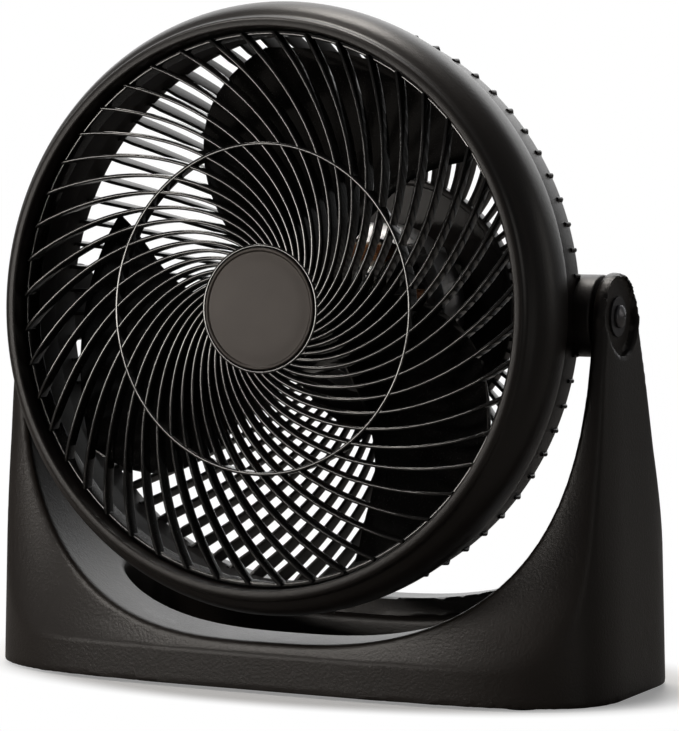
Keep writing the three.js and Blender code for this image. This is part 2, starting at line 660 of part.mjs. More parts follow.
// The winding: one wire round the bobbin on a rounded rectangle, climbing a pitch each turn.
function coilPath() {
  const cornerX = POLE_WIDTH / 2 + BOBBIN_WALL + 2 * CLEAR + WIRE_RADIUS - WIRE_BEND;
  const cornerY = STACK_LENGTH / 2 + BOBBIN_WALL + 2 * CLEAR + WIRE_RADIUS - WIRE_BEND;
  const middle = -(stackFront + stackBack) / 2;
  const low = coilFloor + WIRE_RADIUS;
  return repeat(COIL_TURNS * COIL_STEPS + 1, (i) => {
    const quarter = Math.floor((4 * i) / COIL_STEPS) % 4;
    const bend = ((i % (COIL_STEPS / 4)) / (COIL_STEPS / 4 - 1)) * (Math.PI / 2);
    const [x, y] = onCircle(WIRE_BEND, quarter * (Math.PI / 2) + bend);
    const sideX = quarter === 0 || quarter === 3 ? cornerX : -cornerX;
    const sideY = quarter < 2 ? cornerY : -cornerY;
    return new THREE.Vector3(sideX + x, middle + sideY + y, low + (TURN_PITCH * i) / COIL_STEPS);
  });
}

function coil(turn, sides = 5) {
  const points = coilPath();
  const up = new THREE.Vector3(0, 0, 1);
  const rings = points.map((point, i) => {
    const before = points[Math.max(i - 1, 0)];
    const after = points[Math.min(i + 1, points.length - 1)];
    const along = after.clone().sub(before).normalize();
    const out = new THREE.Vector3().crossVectors(along, up).normalize();
    const high = new THREE.Vector3().crossVectors(out, along).normalize();
    return repeat(sides, (k) => {
      const [a, b] = onCircle(WIRE_RADIUS, (k / sides) * 2 * Math.PI);
      return point.clone().addScaledVector(out, a).addScaledVector(high, b);
    });
  });
  return turned(loft(rings), turn);
}

// The least gap between turns, measured on points along the wire's middle line.
function leastCoilGap(between = 6) {
  const path = coilPath();
  const points = path.slice(1).flatMap((end, i) =>
    repeat(between, (k) => path[i].clone().lerp(end, k / between)));
  const halfTurn = (COIL_STEPS * between) / 2;
  let least = Infinity;
  for (let i = 0; i < points.length; i += 1) {
    for (let j = i + halfTurn; j < points.length; j += 1) {
      least = Math.min(least, points[i].distanceTo(points[j]));
    }
  }
  return least - 2 * WIRE_RADIUS;
}

// An end bracket: a plate with a bearing seat and four legs that stand on the stack.
function bracket(front) {
  const face = front ? stackFront : stackBack;
  const out = front ? 1 : -1;
  const near = face + out * BRACKET_REACH;
  const far = near + out * BRACKET_THICKNESS;
  const cross = repeat(POLE_COUNT / 2, (i) => {
    const arm = new THREE.BoxGeometry(2 * BOLT_CIRCLE, BRACKET_THICKNESS, 9);
    arm.rotateY(-((i + 0.5) / POLE_COUNT) * 2 * Math.PI);
    arm.translate(0, -(near + far) / 2, 0);
    return toSolid(arm);
  });
  const disc = roundBar(BEARING_RADIUS + 6, near, far, { facets: 16 });
  const legs = boltPlaces().map(([x, z]) =>
    roundBar(4.4, face + out * SEAT, far, { x, z, facets: TINY }));
  const seat = roundBar(BEARING_RADIUS + 2.6, far, far - out * (BEARING_LENGTH + 1), { facets: 16 });
  const room = roundBar(BEARING_RADIUS + CLEAR / 2, far + out, far - out * BEARING_LENGTH, { facets: 16 });
  const shaft = roundBar(SHAFT_RADIUS + 1.4, far + 20, far - 20, { facets: 12 });
  const bolts = boltPlaces().map(([x, z]) =>
    roundBar(BOLT_RADIUS + CLEAR, far + 20, far - 20, { x, z, facets: TINY }));
  return cut(join(...cross, disc, ...legs, seat), room, shaft, ...bolts);
}

function bearing(front) {
  const out = front ? 1 : -1;
  const face = (front ? stackFront : stackBack) + out * (BRACKET_REACH + BRACKET_THICKNESS);
  const inner = face - out * (BEARING_LENGTH - CLEAR);
  return roundBar(BEARING_RADIUS, inner, face, { bore: SHAFT_RADIUS + RUNNING_FIT });
}

const shaftFront = SPIDER_FRONT + NUT_HEIGHT - 2.5;
const shaftBack = stackBack - bracketOut - 1;

function motorBolt([x, z]) {
  const headSeat = stackFront + bracketOut + SEAT;
  const end = -BACK_PLATE_BACK + 0.5;
  const shank = roundBar(BOLT_RADIUS, headSeat, end, { x, z, facets: TINY });
  const head = roundBar(BOLT_HEAD_RADIUS, headSeat, headSeat + BOLT_HEAD_HEIGHT, { x, z, facets: 6 });
  return shank.add(head);
}

function rotorCore() {
  return roundBar(BORE_RADIUS, stackFront - CLEAR, stackBack + CLEAR, { bore: SHAFT_RADIUS + SEAT });
}

// ---------------------------------------------------------------- impeller
// One broad blade: a helical sheet that twists between its root and its tip.
function blade(index) {
  const across = 4;
  const along = 6;
  const middle = radians(BLADE_START + (index * 360) / BLADE_COUNT);
  const root = SPIDER_RADIUS - 1.2;
  const point = (i, j, offset) => {
    const v = i / across;
    const s = j / along;
    const radius = root + (BLADE_TIP_RADIUS - root) * v;
    const bulge = Math.sin(Math.PI * s) ** 0.5;
    const reach = v > 0.7 ? 1 - (v - 0.7) ** 2 * 2.2 * (1 - bulge) : 1;
    const span = radians(BLADE_ROOT_SPAN + (BLADE_TIP_SPAN - BLADE_ROOT_SPAN) * v) * reach;
    const sweep = radians(BLADE_SWEEP) * v * v;
    const angle = middle + sweep - (s - 0.5) * span;
    const depth = 0.5 + (s - 0.5) * (0.62 + 0.38 * v);
    const ahead = BLADE_FRONT + (BLADE_BACK - BLADE_FRONT) * depth;
    const [x, z] = onCircle(radius, angle);
    return new THREE.Vector3(x, -ahead + offset, z);
  };
  const thin = (i, j) => BLADE_THICKNESS * (j === 0 || j === along ? 0.35 : 0.5);
  const rings = repeat(across + 1, (i) => [
    ...repeat(along + 1, (j) => point(i, j, -thin(i, j))),
    ...repeat(along + 1, (j) => point(i, along - j, thin(i, along - j))),
  ]);
  return sheet(rings);
}

// Like loft, but its end rings are flat strips, capped across between their two sides.
function sheet(rings) {
  const size = rings[0].length;
  const half = size / 2;
  const position = rings.flat().flatMap((p) => [p.x, p.y, p.z]);
  const index = [];
  for (let r = 0; r + 1 < rings.length; r += 1) {
    for (let i = 0; i < size; i += 1) {
      const a = r * size + i;
      const b = r * size + ((i + 1) % size);
      index.push(a, b, b + size, a, b + size, a + size);
    }
  }
  const last = (rings.length - 1) * size;
  for (let i = 0; i + 1 < half; i += 1) {
    const back = size - 1 - i;
    index.push(i, back, i + 1, back, back - 1, i + 1);
    index.push(last + i, last + i + 1, last + back, last + back, last + i + 1, last + back - 1);
  }
  const geometry = new THREE.BufferGeometry();
  geometry.setAttribute('position', new THREE.Float32BufferAttribute(position, 3));
  geometry.setIndex(index);
  const solid = toSolid(geometry);
  if (solid.volume() > 0) return solid;
  for (let i = 0; i < index.length; i += 3) [index[i], index[i + 1]] = [index[i + 1], index[i]];
  geometry.setIndex(index);
  return toSolid(geometry);
}

function impeller() {
  const cup = turnedRing([
    [0, SPIDER_FRONT],
    [SPIDER_RADIUS - 4, SPIDER_FRONT],
    [SPIDER_RADIUS - 1, SPIDER_FRONT - 1.6],
    [SPIDER_RADIUS, SPIDER_FRONT - 5],
    [SPIDER_RADIUS, SPIDER_BACK],
    [SPIDER_RADIUS - 2.4, SPIDER_BACK],
    [SPIDER_RADIUS - 2.4, SPIDER_FRONT - 3],
    [NUT_RADIUS, SPIDER_FRONT - 3],
    [NUT_RADIUS, SPIDER_BACK - 8],
    [0, SPIDER_BACK - 8],
  ], 24);
  const bore = roundBar(SHAFT_RADIUS + 0.15, SPIDER_FRONT + 5, SPIDER_BACK - 20);
  return cut(join(cup, ...repeat(BLADE_COUNT, blade)), bore);
}

function impellerNut() {
  const seat = SPIDER_FRONT + SEAT;
  const body = roundBar(NUT_RADIUS, seat, seat + NUT_HEIGHT, { facets: TINY });
  const room = roundBar(SHAFT_RADIUS + 0.15, seat - 2, shaftFront + CLEAR);
  return body.subtract(room);
}

// ---------------------------------------------------------------- cover, switch and knob
const coverFront = -BACK_PLATE_BACK - SEAT;
const coverBack = -BACK_PLATE_BACK - COVER_DEPTH;
const knobSeat = coverBack - CLEAR;

function motorCover() {
  const wall = 2.2;
  const cup = turnedRing([
    [0, coverBack],
    [COVER_RADIUS - 9, coverBack],
    [COVER_RADIUS - COVER_CROWN * 0.4, coverBack + COVER_CROWN],
    [COVER_RADIUS, coverFront],
    [COVER_RADIUS - wall, coverFront],
    [COVER_RADIUS - 9, coverBack + wall],
    [0, coverBack + wall],
  ], 28);
  const posts = coverScrewPlaces().map(([x, z]) =>
    roundBar(SCREW_HEAD_RADIUS + 0.6, coverFront, coverBack + wall / 2, { x, z, facets: 12 }));
  const holes = coverScrewPlaces().flatMap(([x, z]) => [
    roundBar(SCREW_RADIUS + CLEAR, coverFront + 5, coverBack - 5, { x, z, facets: TINY }),
  ]);
  const spindle = roundBar(SPINDLE_RADIUS + CLEAR, 0, coverBack - 5, { z: -KNOB_DROP });
  const gland = uprightBar(GLAND_RADIUS + CLEAR, -COVER_RADIUS - 8, -COVER_RADIUS + 8, 0, glandY(), 12);
  return cut(join(cup, ...posts), ...holes, spindle, gland);
}

const glandY = () => BACK_PLATE_BACK + GLAND_RADIUS + CLEAR;

// The bush where the mains lead enters; two flanges hold it in the cover's wall.
function cordGland() {
  const wallOut = -COVER_RADIUS;
  const small = GLAND_RADIUS - 0.9;
  const top = wallOut + 4.5;
  const parts = [
    uprightBar(small, wallOut - GLAND_LENGTH, top, 0, glandY(), 12),
    uprightBar(GLAND_RADIUS, wallOut - 1, wallOut + 3.2, 0, glandY(), 12),
  ];
  const bore = uprightBar(GLAND_BORE, wallOut - GLAND_LENGTH - 2, top + 2, 0, glandY(), 12);
  return cut(join(...parts), bore);
}

function rotarySwitch() {
  const half = SWITCH_SIDE / 2;
  const back = coverBack + 2.2 + CLEAR;
  const front = Math.min(back + SWITCH_DEPTH, coverFront - CLEAR);
  const body = block(-half, half, -front, -back, -KNOB_DROP - half, -KNOB_DROP + half);
  const room = roundBar(SPINDLE_RADIUS + CLEAR, front - 2, back - 5, { z: -KNOB_DROP });
  return body.subtract(room);
}

function switchSpindle() {
  const front = coverBack + 2.2 + CLEAR + SWITCH_DEPTH - 4;
  return roundBar(SPINDLE_RADIUS, front, knobSeat - KNOB_LENGTH + 4, { z: -KNOB_DROP });
}

function speedKnob() {
  const back = knobSeat - KNOB_LENGTH;
  const body = new THREE.CylinderGeometry(KNOB_RADIUS, KNOB_TOP_RADIUS, KNOB_LENGTH - 3, SMALL);
  body.translate(0, -(back + (KNOB_LENGTH - 3) / 2), -KNOB_DROP);
  const skirt = roundBar(KNOB_RADIUS, knobSeat, knobSeat - 3.2, { z: -KNOB_DROP, facets: SMALL });
  const grip = block(-2.2, 2.2, -(back + 8), -back + 0.001, -KNOB_DROP - 11, -KNOB_DROP + 11);
  const fingers = [-1, 1].map((side) => block(side > 0 ? 3.6 : -20, side > 0 ? 20 : -3.6,
    -(back + 7), -back + 5, -KNOB_DROP - 20, -KNOB_DROP + 20));
  const room = roundBar(SPINDLE_RADIUS + 0.1, knobSeat + 5, back + 4 - CLEAR, { z: -KNOB_DROP });
  return cut(join(cut(toSolid(body), ...fingers), skirt, grip), room);
}

// ---------------------------------------------------------------- fasteners
// A pan-head screw along the fan axis; it enters from behind.
function panScrew([x, z], seat, length) {
  const shank = roundBar(SCREW_RADIUS, seat, seat + length, { x, z, facets: TINY });
  const head = roundBar(SCREW_HEAD_RADIUS, seat, seat - SCREW_HEAD_HEIGHT, { x, z, facets: 12 });
  return shank.add(head);
}

function pivotScrew(side) {
  const seat = PIVOT_RECESS_FLOOR + PIVOT_WASHER_THICKNESS + 2 * SEAT;
  const tip = bossEnd() - PIVOT_SCREW_DEPTH;
  const shank = sideBar(PIVOT_SCREW_RADIUS, side * tip, side * seat, TINY);
  const head = sideBar(PIVOT_HEAD_RADIUS, side * seat, side * (seat + PIVOT_HEAD_HEIGHT), 12);
  return shank.add(head);
}

function flatRing(side, from, thickness, radius) {
  const ring = sideBar(radius, side * from, side * (from + thickness));
  const hole = sideBar(PIVOT_SCREW_RADIUS + CLEAR, side * (from - 1), side * (from + thickness + 1), TINY);
  return ring.subtract(hole);
}

// ---------------------------------------------------------------- assembly
const model = new THREE.Group();
const head = new THREE.Group();
head.position.set(0, 0, PIVOT_HEIGHT);
head.rotation.x = -radians(TILT_DEG);
model.add(head);

function place(group, name, solid, material) {
  const mesh = new THREE.Mesh(toGeometry(solid), material);
  mesh.name = name;
  group.add(mesh);
}

place(model, 'stand_shell', standShell(), shellBlack);
footPlaces().forEach(([x, y]) => {
  const name = `foot_${y < 0 ? 'front' : 'rear'}_${x < 0 ? 'left' : 'right'}`;
  place(model, name, uprightBar(FOOT_RADIUS, 0, FOOT_HEIGHT, x, y), rubberBlack);
});

place(head, 'front_shell', frontShell(), shellBlack);
place(head, 'front_grille', frontGrille(), glossBlack);
place(head, 'hub_badge', hubBadge(), badgeBrown);
place(head, 'rear_grille', rearGrille(), shellBlack);
place(head, 'motor_cover', motorCover(), shellBlack);
place(head, 'cord_gland', cordGland(), rubberBlack);
place(head, 'speed_switch', rotarySwitch(), bakelite);
place(head, 'switch_spindle', switchSpindle(), nylon);
place(head, 'speed_knob', speedKnob(), glossBlack);

place(head, 'stator_core', stator(), lamination);
const poleNames = ['top', 'right', 'bottom', 'left'];
poleNames.forEach((name, i) => {
  const turn = (i / POLE_COUNT) * 2 * Math.PI;
  place(head, `bobbin_${name}`, bobbin(turn), nylon);
  place(head, `coil_${name}`, coil(turn), copper);
});
console.log(`coil: least gap between turns ${leastCoilGap().toFixed(2)} mm`);
place(head, 'motor_bracket_front', bracket(true), lamination);
place(head, 'motor_bracket_rear', bracket(false), lamination);
place(head, 'bearing_front', bearing(true), bronze);
place(head, 'bearing_rear', bearing(false), bronze);
boltPlaces().forEach((at, i) => place(head, `motor_bolt_${i + 1}`, motorBolt(at), darkSteel));

place(head, 'motor_shaft', roundBar(SHAFT_RADIUS, shaftFront, shaftBack), steel);
place(head, 'rotor_core', rotorCore(), darkSteel);
place(head, 'impeller', impeller(), glossBlack);
place(head, 'impeller_nut', impellerNut(), glossBlack);

coverScrewPlaces().forEach((at, i) =>
  place(head, `cover_screw_${i + 1}`, panScrew(at, coverBack - SEAT, SCREW_LENGTH + 6), steel));

[-1, 1].forEach((side) => {
  const name = side < 0 ? 'left' : 'right';
  const spacer = bossEnd() + CLEAR;
  place(head, `pivot_spacer_${name}`, flatRing(side, spacer, SPACER_THICKNESS, SPACER_RADIUS), nylon);
  place(head, `pivot_washer_${name}`,
    flatRing(side, PIVOT_RECESS_FLOOR + SEAT, PIVOT_WASHER_THICKNESS, PIVOT_WASHER_RADIUS), steel);
  place(head, `pivot_screw_${name}`, pivotScrew(side), steel);
});

// The origin goes to the bottom centre of the whole object.
model.updateMatrixWorld(true);
const box = new THREE.Box3().setFromObject(model, true);
model.position.set(0, -(box.min.y + box.max.y) / 2, 0);

export default model;
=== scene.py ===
"""A table air circulator: a round tilting head between the arms of a one-piece U-shaped stand.

Shapes are worked out in millimetres about the tilt axis and turned into metres at the end.
Head points are (right, ahead, up) along and across the fan axis; stand points are
(right, behind the tilt axis, above the floor).
"""
import json
import math

import bmesh
import bpy
import numpy as np
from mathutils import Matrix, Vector


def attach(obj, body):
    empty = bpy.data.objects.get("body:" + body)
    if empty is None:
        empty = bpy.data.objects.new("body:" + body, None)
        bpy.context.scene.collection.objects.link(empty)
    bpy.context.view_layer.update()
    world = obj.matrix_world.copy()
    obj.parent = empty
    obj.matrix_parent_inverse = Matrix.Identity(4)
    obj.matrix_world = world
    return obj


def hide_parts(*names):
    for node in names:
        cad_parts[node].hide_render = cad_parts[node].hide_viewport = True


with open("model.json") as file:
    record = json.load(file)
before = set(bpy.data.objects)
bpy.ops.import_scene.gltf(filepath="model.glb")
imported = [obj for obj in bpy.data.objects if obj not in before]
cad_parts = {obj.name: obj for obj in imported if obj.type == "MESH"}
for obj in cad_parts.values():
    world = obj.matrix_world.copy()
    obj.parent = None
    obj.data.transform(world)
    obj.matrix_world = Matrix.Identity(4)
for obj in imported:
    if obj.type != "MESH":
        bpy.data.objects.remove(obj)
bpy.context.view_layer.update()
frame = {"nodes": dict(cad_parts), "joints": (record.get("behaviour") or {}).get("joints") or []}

# ---- sizes taken from the frame
joints = {joint["name"]: joint for joint in frame["joints"]}
PIVOT = np.array(joints["head_tilt"]["pos_m"])
FAN_AXIS = np.array(joints["rotor_spin"]["axis"])
TILT = math.atan2(FAN_AXIS[2], -FAN_AXIS[1])
PIVOT_HEIGHT = PIVOT[2] * 1000

# head, in mm: radii about the fan axis and distances ahead of the tilt axis
CLEAR = 0.3  # between pieces that fit together
SKIN = 2.4  # wall of the head's mouldings
HEAD_RADIUS = 123.1
HEAD_WIDEST = 34.5
LIP_RADIUS = HEAD_RADIUS - 7.9
LIP_WIDTH = 3.4
LIP_INNER = LIP_RADIUS - LIP_WIDTH
LIP_FRONT = 55.8
SEAM_RADIUS = HEAD_RADIUS - 2.8
SEAM_FRONT = 22.8
DUCT_RADIUS = SEAM_RADIUS - 7
DUCT_BACK = 7.6
LEDGE = 1.6  # inward step of the front shell's collar

RIB_COUNT = 48
RIB_SWIRL = 0.935  # turn of a rib, in radians, for each e-fold of its radius
RIB_WIDTH = 1.5
RIB_DEPTH = 6
HUB_RADIUS = 24.3
HUB_RIM = 1.4
GRILLE_FRONT = LIP_FRONT - 4.6
MID_RING = LIP_INNER - 46.1
GRILLE_RIM = LIP_INNER - 1
RIB_SINK = 0.5  # drop of the ribs' front edges at the rim
RIB_STATIONS = 29
BADGE_THICKNESS = 2.2

SLAT_COUNT = 72
SLAT_WIDTH = 1.7
SLAT_DEPTH = 4.5
PLATE_RADIUS = 56
PLATE_BACK = 78
PLATE_THICKNESS = 2.5
BOWL_SHOULDER = 9.8  # how far the bowl draws in from the seam by its second control point
BOWL_SLACK = 2.15  # and how far its third lies inside the half-way radius
BOWL_STATIONS = 25
BOSS_RADIUS = 16.3

BLADE_COUNT = 3
BLADE_TIP = DUCT_RADIUS - 8.3
BLADE_FRONT = GRILLE_FRONT - 14.2
BLADE_BACK = -7
BLADE_ROOT_SPAN = 72
BLADE_TIP_SPAN = 68
BLADE_SWEEP = -29
BLADE_START = 95.5
BLADE_THICKNESS = 2
SPIDER_RADIUS = 27
SPIDER_FRONT = BLADE_FRONT - 3
SPIDER_BACK = 4
SHAFT_RADIUS = 3
NUT_RADIUS = 7.5

# motor, in mm: the stack of sheets, its four poles and their windings
STACK_LENGTH = 20
STACK_FRONT = -PLATE_BACK + PLATE_THICKNESS + 0.05 + 7 + 2.2 + STACK_LENGTH
STATOR_RADIUS = 36.0
YOKE_RADIUS = 29.5
POLE_WIDTH = 10
SHOE_RADIUS = 14.5
SHOE_THICKNESS = 2.1
SHOE_HALF_ANGLE = 33
BOBBIN_WALL = 1.2
COIL_LOW, COIL_HIGH = 19.7, 27.0  # from the fan axis
COIL_TURNS = 7  # in each of two layers
COIL_STEPS = 40  # points for each turn
COIL_POWER = 0.36  # squareness of a turn
WIRE_RADIUS = 0.48
WIRE_PITCH = 1.9  # between the layers, in wire radii

COVER_RADIUS = PLATE_RADIUS - 2
COVER_DEPTH = 11
KNOB_RADIUS = 14
KNOB_LENGTH = 13.6
KNOB_DROP = COVER_RADIUS - 30

# stand, in mm: across, behind the tilt axis and above the floor
TROUGH_HALF_WIDTH = HEAD_RADIUS + 5.1
TROUGH_FLOOR = 20.45
TROUGH_DEPTH = PIVOT_HEIGHT - TROUGH_FLOOR
TROUGH_POWER = 2.77
STAND_HALF_WIDTH = TROUGH_HALF_WIDTH + 11
STAND_FRONT = 57.5
STAND_BACK = 65
FRONT_BOW = 8.5
BACK_BOW = 5
WIDEST_Y = 3
CORNER_POWER = 3.9  # squareness of the footprint's corners
BACK_CORNER_POWER = 6
ARM_LEAN = 4.2  # of the outer walls, from the floor to the tilt axis
ARM_RADIUS = 17.8
CREASE_HEIGHT = TROUGH_FLOOR - 4.45
CREASE_CHAMFER = 4.2  # width cut off the edge of the scooped front, at its foot
CHAMFER_LOSS = 3.4  # how much of that is lost higher up the arm
CHAMFER_LOW, CHAMFER_RISE = 25, 60
CREASE_ROUND = 1.6
ARM_ROUND = 2.4  # rounding of the arms' long edges at the pivot
FOOT_ROUND = 3.0  # and how much more it is lower down
ARM_ROUND_DROP, ARM_ROUND_FADE = 24, 30
TROUGH_ROUND = 2.2
WELL_ROUND = 3.0
SHARP_ROUND = 1.2
WALL = 2.8
BACK_BAR_FRONT = 41
BACK_BAR_HEIGHT = TROUGH_FLOOR + 7.55
FOOT_RADIUS = 8
FOOT_HEIGHT = 3
SHELL_LIFT = 1.2
FOOT_X = STAND_HALF_WIDTH - 33.2
FOOT_FRONT_Y = -STAND_FRONT + 24.5
FOOT_BACK_Y = STAND_BACK - 22
WELL_HALF_WIDTH = FOOT_X - FOOT_RADIUS - 6
WELL_FRONT = 18
WELL_BACK = BACK_BAR_FRONT - 3
WELL_POWER = 3.4
RECESS_RADIUS = 15.5
RECESS_FLOOR = TROUGH_HALF_WIDTH + 3.6
POST_WALL = 1.5  # of the posts round the feet
NET_STEP = 1.45  # grid of the stand's surface
NET_MARGIN = 2


# ---- camera
CAMERA_AZIMUTH = math.radians(26.93)
CAMERA_ELEVATION = math.radians(3.09)
CAMERA_DISTANCE = 1.4
IMAGE_WIDTH, IMAGE_HEIGHT = 679, 731
FOCAL_PIXELS = 3404.8
CENTRE_X, CENTRE_Y = 321.33, 307.87


def add_camera():
    """A perspective camera aimed 3 mm behind the middle of the tilt axis."""
    target = Vector(PIVOT) + Vector((0, 0.003, 0))
    back = Vector((
        math.sin(CAMERA_AZIMUTH) * math.cos(CAMERA_ELEVATION),
        -math.cos(CAMERA_AZIMUTH) * math.cos(CAMERA_ELEVATION),
        math.sin(CAMERA_ELEVATION),
    ))
    data = bpy.data.cameras.new("photo_camera")
    data.sensor_width = 36
    data.lens = 36 * FOCAL_PIXELS / IMAGE_HEIGHT
    data.shift_x = (IMAGE_WIDTH / 2 - CENTRE_X) / IMAGE_HEIGHT
    data.shift_y = (CENTRE_Y - IMAGE_HEIGHT / 2) / IMAGE_HEIGHT
    camera = bpy.data.objects.new("photo_camera", data)
    bpy.context.scene.collection.objects.link(camera)
    camera.location = target + back * CAMERA_DISTANCE
    camera.rotation_euler = back.to_track_quat("Z", "Y").to_euler()
    bpy.context.scene.camera = camera


# ---- shader maths
class Value:
    """One output of a shader node; Python's operators add Math nodes to its tree."""

    def __init__(self, recipe, socket):
        self.recipe = recipe
        self.socket = socket

    def math(self, operation, *inputs):
        return self.recipe.node("ShaderNodeMath", {"operation": operation}, *inputs)

    def __add__(self, other):
        return self.math("ADD", self, other)

    def __sub__(self, other):
        return self.math("SUBTRACT", self, other)

    def __rsub__(self, other):
        return self.math("SUBTRACT", other, self)

    def __mul__(self, other):
        return self.math("MULTIPLY", self, other)

    __radd__ = __add__
    __rmul__ = __mul__

    def fade(self, low, high):
        """0 below low, 1 above high and a smooth step between them."""
        settings = {"interpolation_type": "SMOOTHSTEP"}
        return self.recipe.node("ShaderNodeMapRange", settings, self, low, high, 0.0, 1.0)


class Recipe:
    """A material in the making: one method adds any node, another the surface."""

    def __init__(self, name):
        self.material = bpy.data.materials.new(name)
        self.material.use_nodes = True
        self.tree = self.material.node_tree
        self.tree.nodes.clear()
        self.place = self.node("ShaderNodeTexCoord", {}, output="Object")

    def node(self, kind, settings, *inputs, output=0, **named):
        """Adds a node, sets it, then fills its sockets by order or by name."""
        node = self.tree.nodes.new(kind)
        for key, value in settings.items():
            setattr(node, key, value)
        for socket, value in list(zip(node.inputs, inputs)) + [
            (node.inputs[key.replace("_", " ")], value) for key, value in named.items()
        ]:
            if isinstance(value, Value):
                self.tree.links.new(value.socket, socket)
            else:
                socket.default_value = value
        return Value(self, node.outputs[output])

    def noise(self, per_mm, detail=2.0, roughness=0.5, place=None):
        """Noise from 0 to 1 with so many features for each millimetre."""
        return self.node(
            "ShaderNodeTexNoise", {}, Vector=place or self.place, Scale=per_mm * 1000,
            Detail=detail, Roughness=roughness,
        )

    def mix(self, factor, low, high):
        """Blends two colours, each one plain or already a socket."""
        node = self.tree.nodes.new("ShaderNodeMix")
        node.data_type = "RGBA"
        self.tree.links.new(factor.socket, node.inputs[0])
        for socket, colour in ((node.inputs[6], low), (node.inputs[7], high)):
            if isinstance(colour, Value):
                self.tree.links.new(colour.socket, socket)
            else:
                socket.default_value = (*colour, 1)
        return Value(self, node.outputs[2])

    def bump(self, height, depth_mm):
        """A bump from a height of 0 to 1 that stands for so many millimetres."""
        return self.node(
            "ShaderNodeBump", {}, Strength=1.0, Distance=depth_mm / 1000, Height=height,
            output="Normal",
        )

    def surface(self, **sockets):
        """Ends the material in one Principled surface."""
        node = self.tree.nodes.new("ShaderNodeBsdfPrincipled")
        for key, value in sockets.items():
            socket = node.inputs[key.replace("_", " ")]
            if isinstance(value, Value):
                self.tree.links.new(value.socket, socket)
            else:
                socket.default_value = value
        output = self.tree.nodes.new("ShaderNodeOutputMaterial")
        self.tree.links.new(node.outputs[0], output.inputs[0])
        return self.material


# ---- finishes
def grained_shell(name, dark, light, grain_mm, base_roughness):
    """Satin moulded plastic with a spark-eroded grain and faint handling marks."""
    recipe = Recipe(name)
    grain = recipe.noise(0.85, detail=4.0, roughness=0.6)
    cloud = recipe.noise(0.018, detail=3.0)
    rubbed = recipe.noise(0.06, detail=4.0, roughness=0.7).fade(0.58, 0.78)
    tone = recipe.mix(cloud.fade(0.3, 0.7), dark, light)
    roughness = base_roughness + 0.08 * cloud + 0.06 * grain - 0.07 * rubbed
    return recipe.surface(
        Base_Color=tone, Roughness=roughness, Normal=recipe.bump(grain, grain_mm),
        Specular_IOR_Level=0.5,
    )


def gloss_black(name):
    """Glossy black plastic: a slight orange peel, flow marks and specks of dust."""
    recipe = Recipe(name)
    peel = recipe.noise(0.10, detail=1.0)
    flow = recipe.noise(0.03, detail=3.0)
    dust = recipe.noise(2.4, detail=1.0).fade(0.66, 0.74)
    roughness = 0.08 + 0.1 * flow.fade(0.35, 0.75) + 0.25 * dust
    tone = recipe.mix(dust * 0.35, (0.010, 0.0095, 0.0095), (0.05, 0.047, 0.045))
    return recipe.surface(Base_Color=tone, Roughness=roughness, Normal=recipe.bump(peel, 0.02))


def badge_satin(name):
    """Bare satin disc: a warm grey paint with a very fine fleck."""
    recipe = Recipe(name)
    fleck = recipe.noise(3.0, detail=2.0)
    cloud = recipe.noise(0.04, detail=2.0)
    tone = recipe.mix(cloud.fade(0.3, 0.7), (0.045, 0.036, 0.031), (0.054, 0.044, 0.038))
    return recipe.surface(
        Base_Color=tone, Roughness=0.36 + 0.12 * fleck, Metallic=0.25,
        Normal=recipe.bump(fleck, 0.02),
    )


def bright_metal(name, tone, low, high, stretch=(1, 1, 1)):
    """Plated or die-cast metal with fine marks; its roughness runs from low to high."""
    recipe = Recipe(name)
    place = recipe.node("ShaderNodeMapping", {}, recipe.place, Scale=stretch)
    marks = recipe.noise(1.2, detail=4.0, roughness=0.65, place=place)
    stain = recipe.noise(0.05, detail=3.0).fade(0.45, 0.8)
    darker = tuple(0.62 * part for part in tone)
    return recipe.surface(
        Base_Color=recipe.mix(stain, tone, darker), Metallic=1.0,
        Roughness=low + (high - low) * marks + 0.1 * stain, Normal=recipe.bump(marks, 0.02),
    )


def laminated_steel(name):
    """A stack of half-millimetre sheets: bands along the fan axis and rusty specks."""
    recipe = Recipe(name)
    bands = recipe.node(
        "ShaderNodeTexWave", {"bands_direction": "Y"}, recipe.place, 320.0, 0.4, 2.0,
    )
    specks = recipe.noise(0.5, detail=3.0).fade(0.6, 0.75)
    sheets = recipe.mix(bands, (0.30, 0.30, 0.31), (0.62, 0.62, 0.63))
    tone = recipe.mix(specks * 0.5, sheets, (0.20, 0.13, 0.09))
    return recipe.surface(
        Base_Color=tone, Metallic=1.0, Roughness=0.28 + 0.2 * specks,
        Normal=recipe.bump(bands, 0.12),
    )


def copper_wire(name):
    """Enamelled copper: a clear coat over warm metal that darkens in places."""
    recipe = Recipe(name)
    shade = recipe.noise(0.25, detail=3.0)
    tone = recipe.mix(shade.fade(0.35, 0.7), (0.95, 0.46, 0.20), (0.62, 0.22, 0.08))
    return recipe.surface(
        Base_Color=tone, Metallic=0.55, Roughness=0.2 + 0.12 * shade, Coat_Weight=0.6,
        Normal=recipe.bump(shade, 0.05),
    )


def plain_plastic(name, dark, light, base_roughness, grain_mm=0.04):
    """Plastic or rubber with a cloudy tone and a fine moulded grain."""
    recipe = Recipe(name)
    grain = recipe.noise(1.4, detail=3.0)
    cloud = recipe.noise(0.08, detail=3.0)
    return recipe.surface(
        Base_Color=recipe.mix(cloud.fade(0.3, 0.7), dark, light),
        Roughness=base_roughness + 0.1 * grain, Normal=recipe.bump(grain, grain_mm),
    )


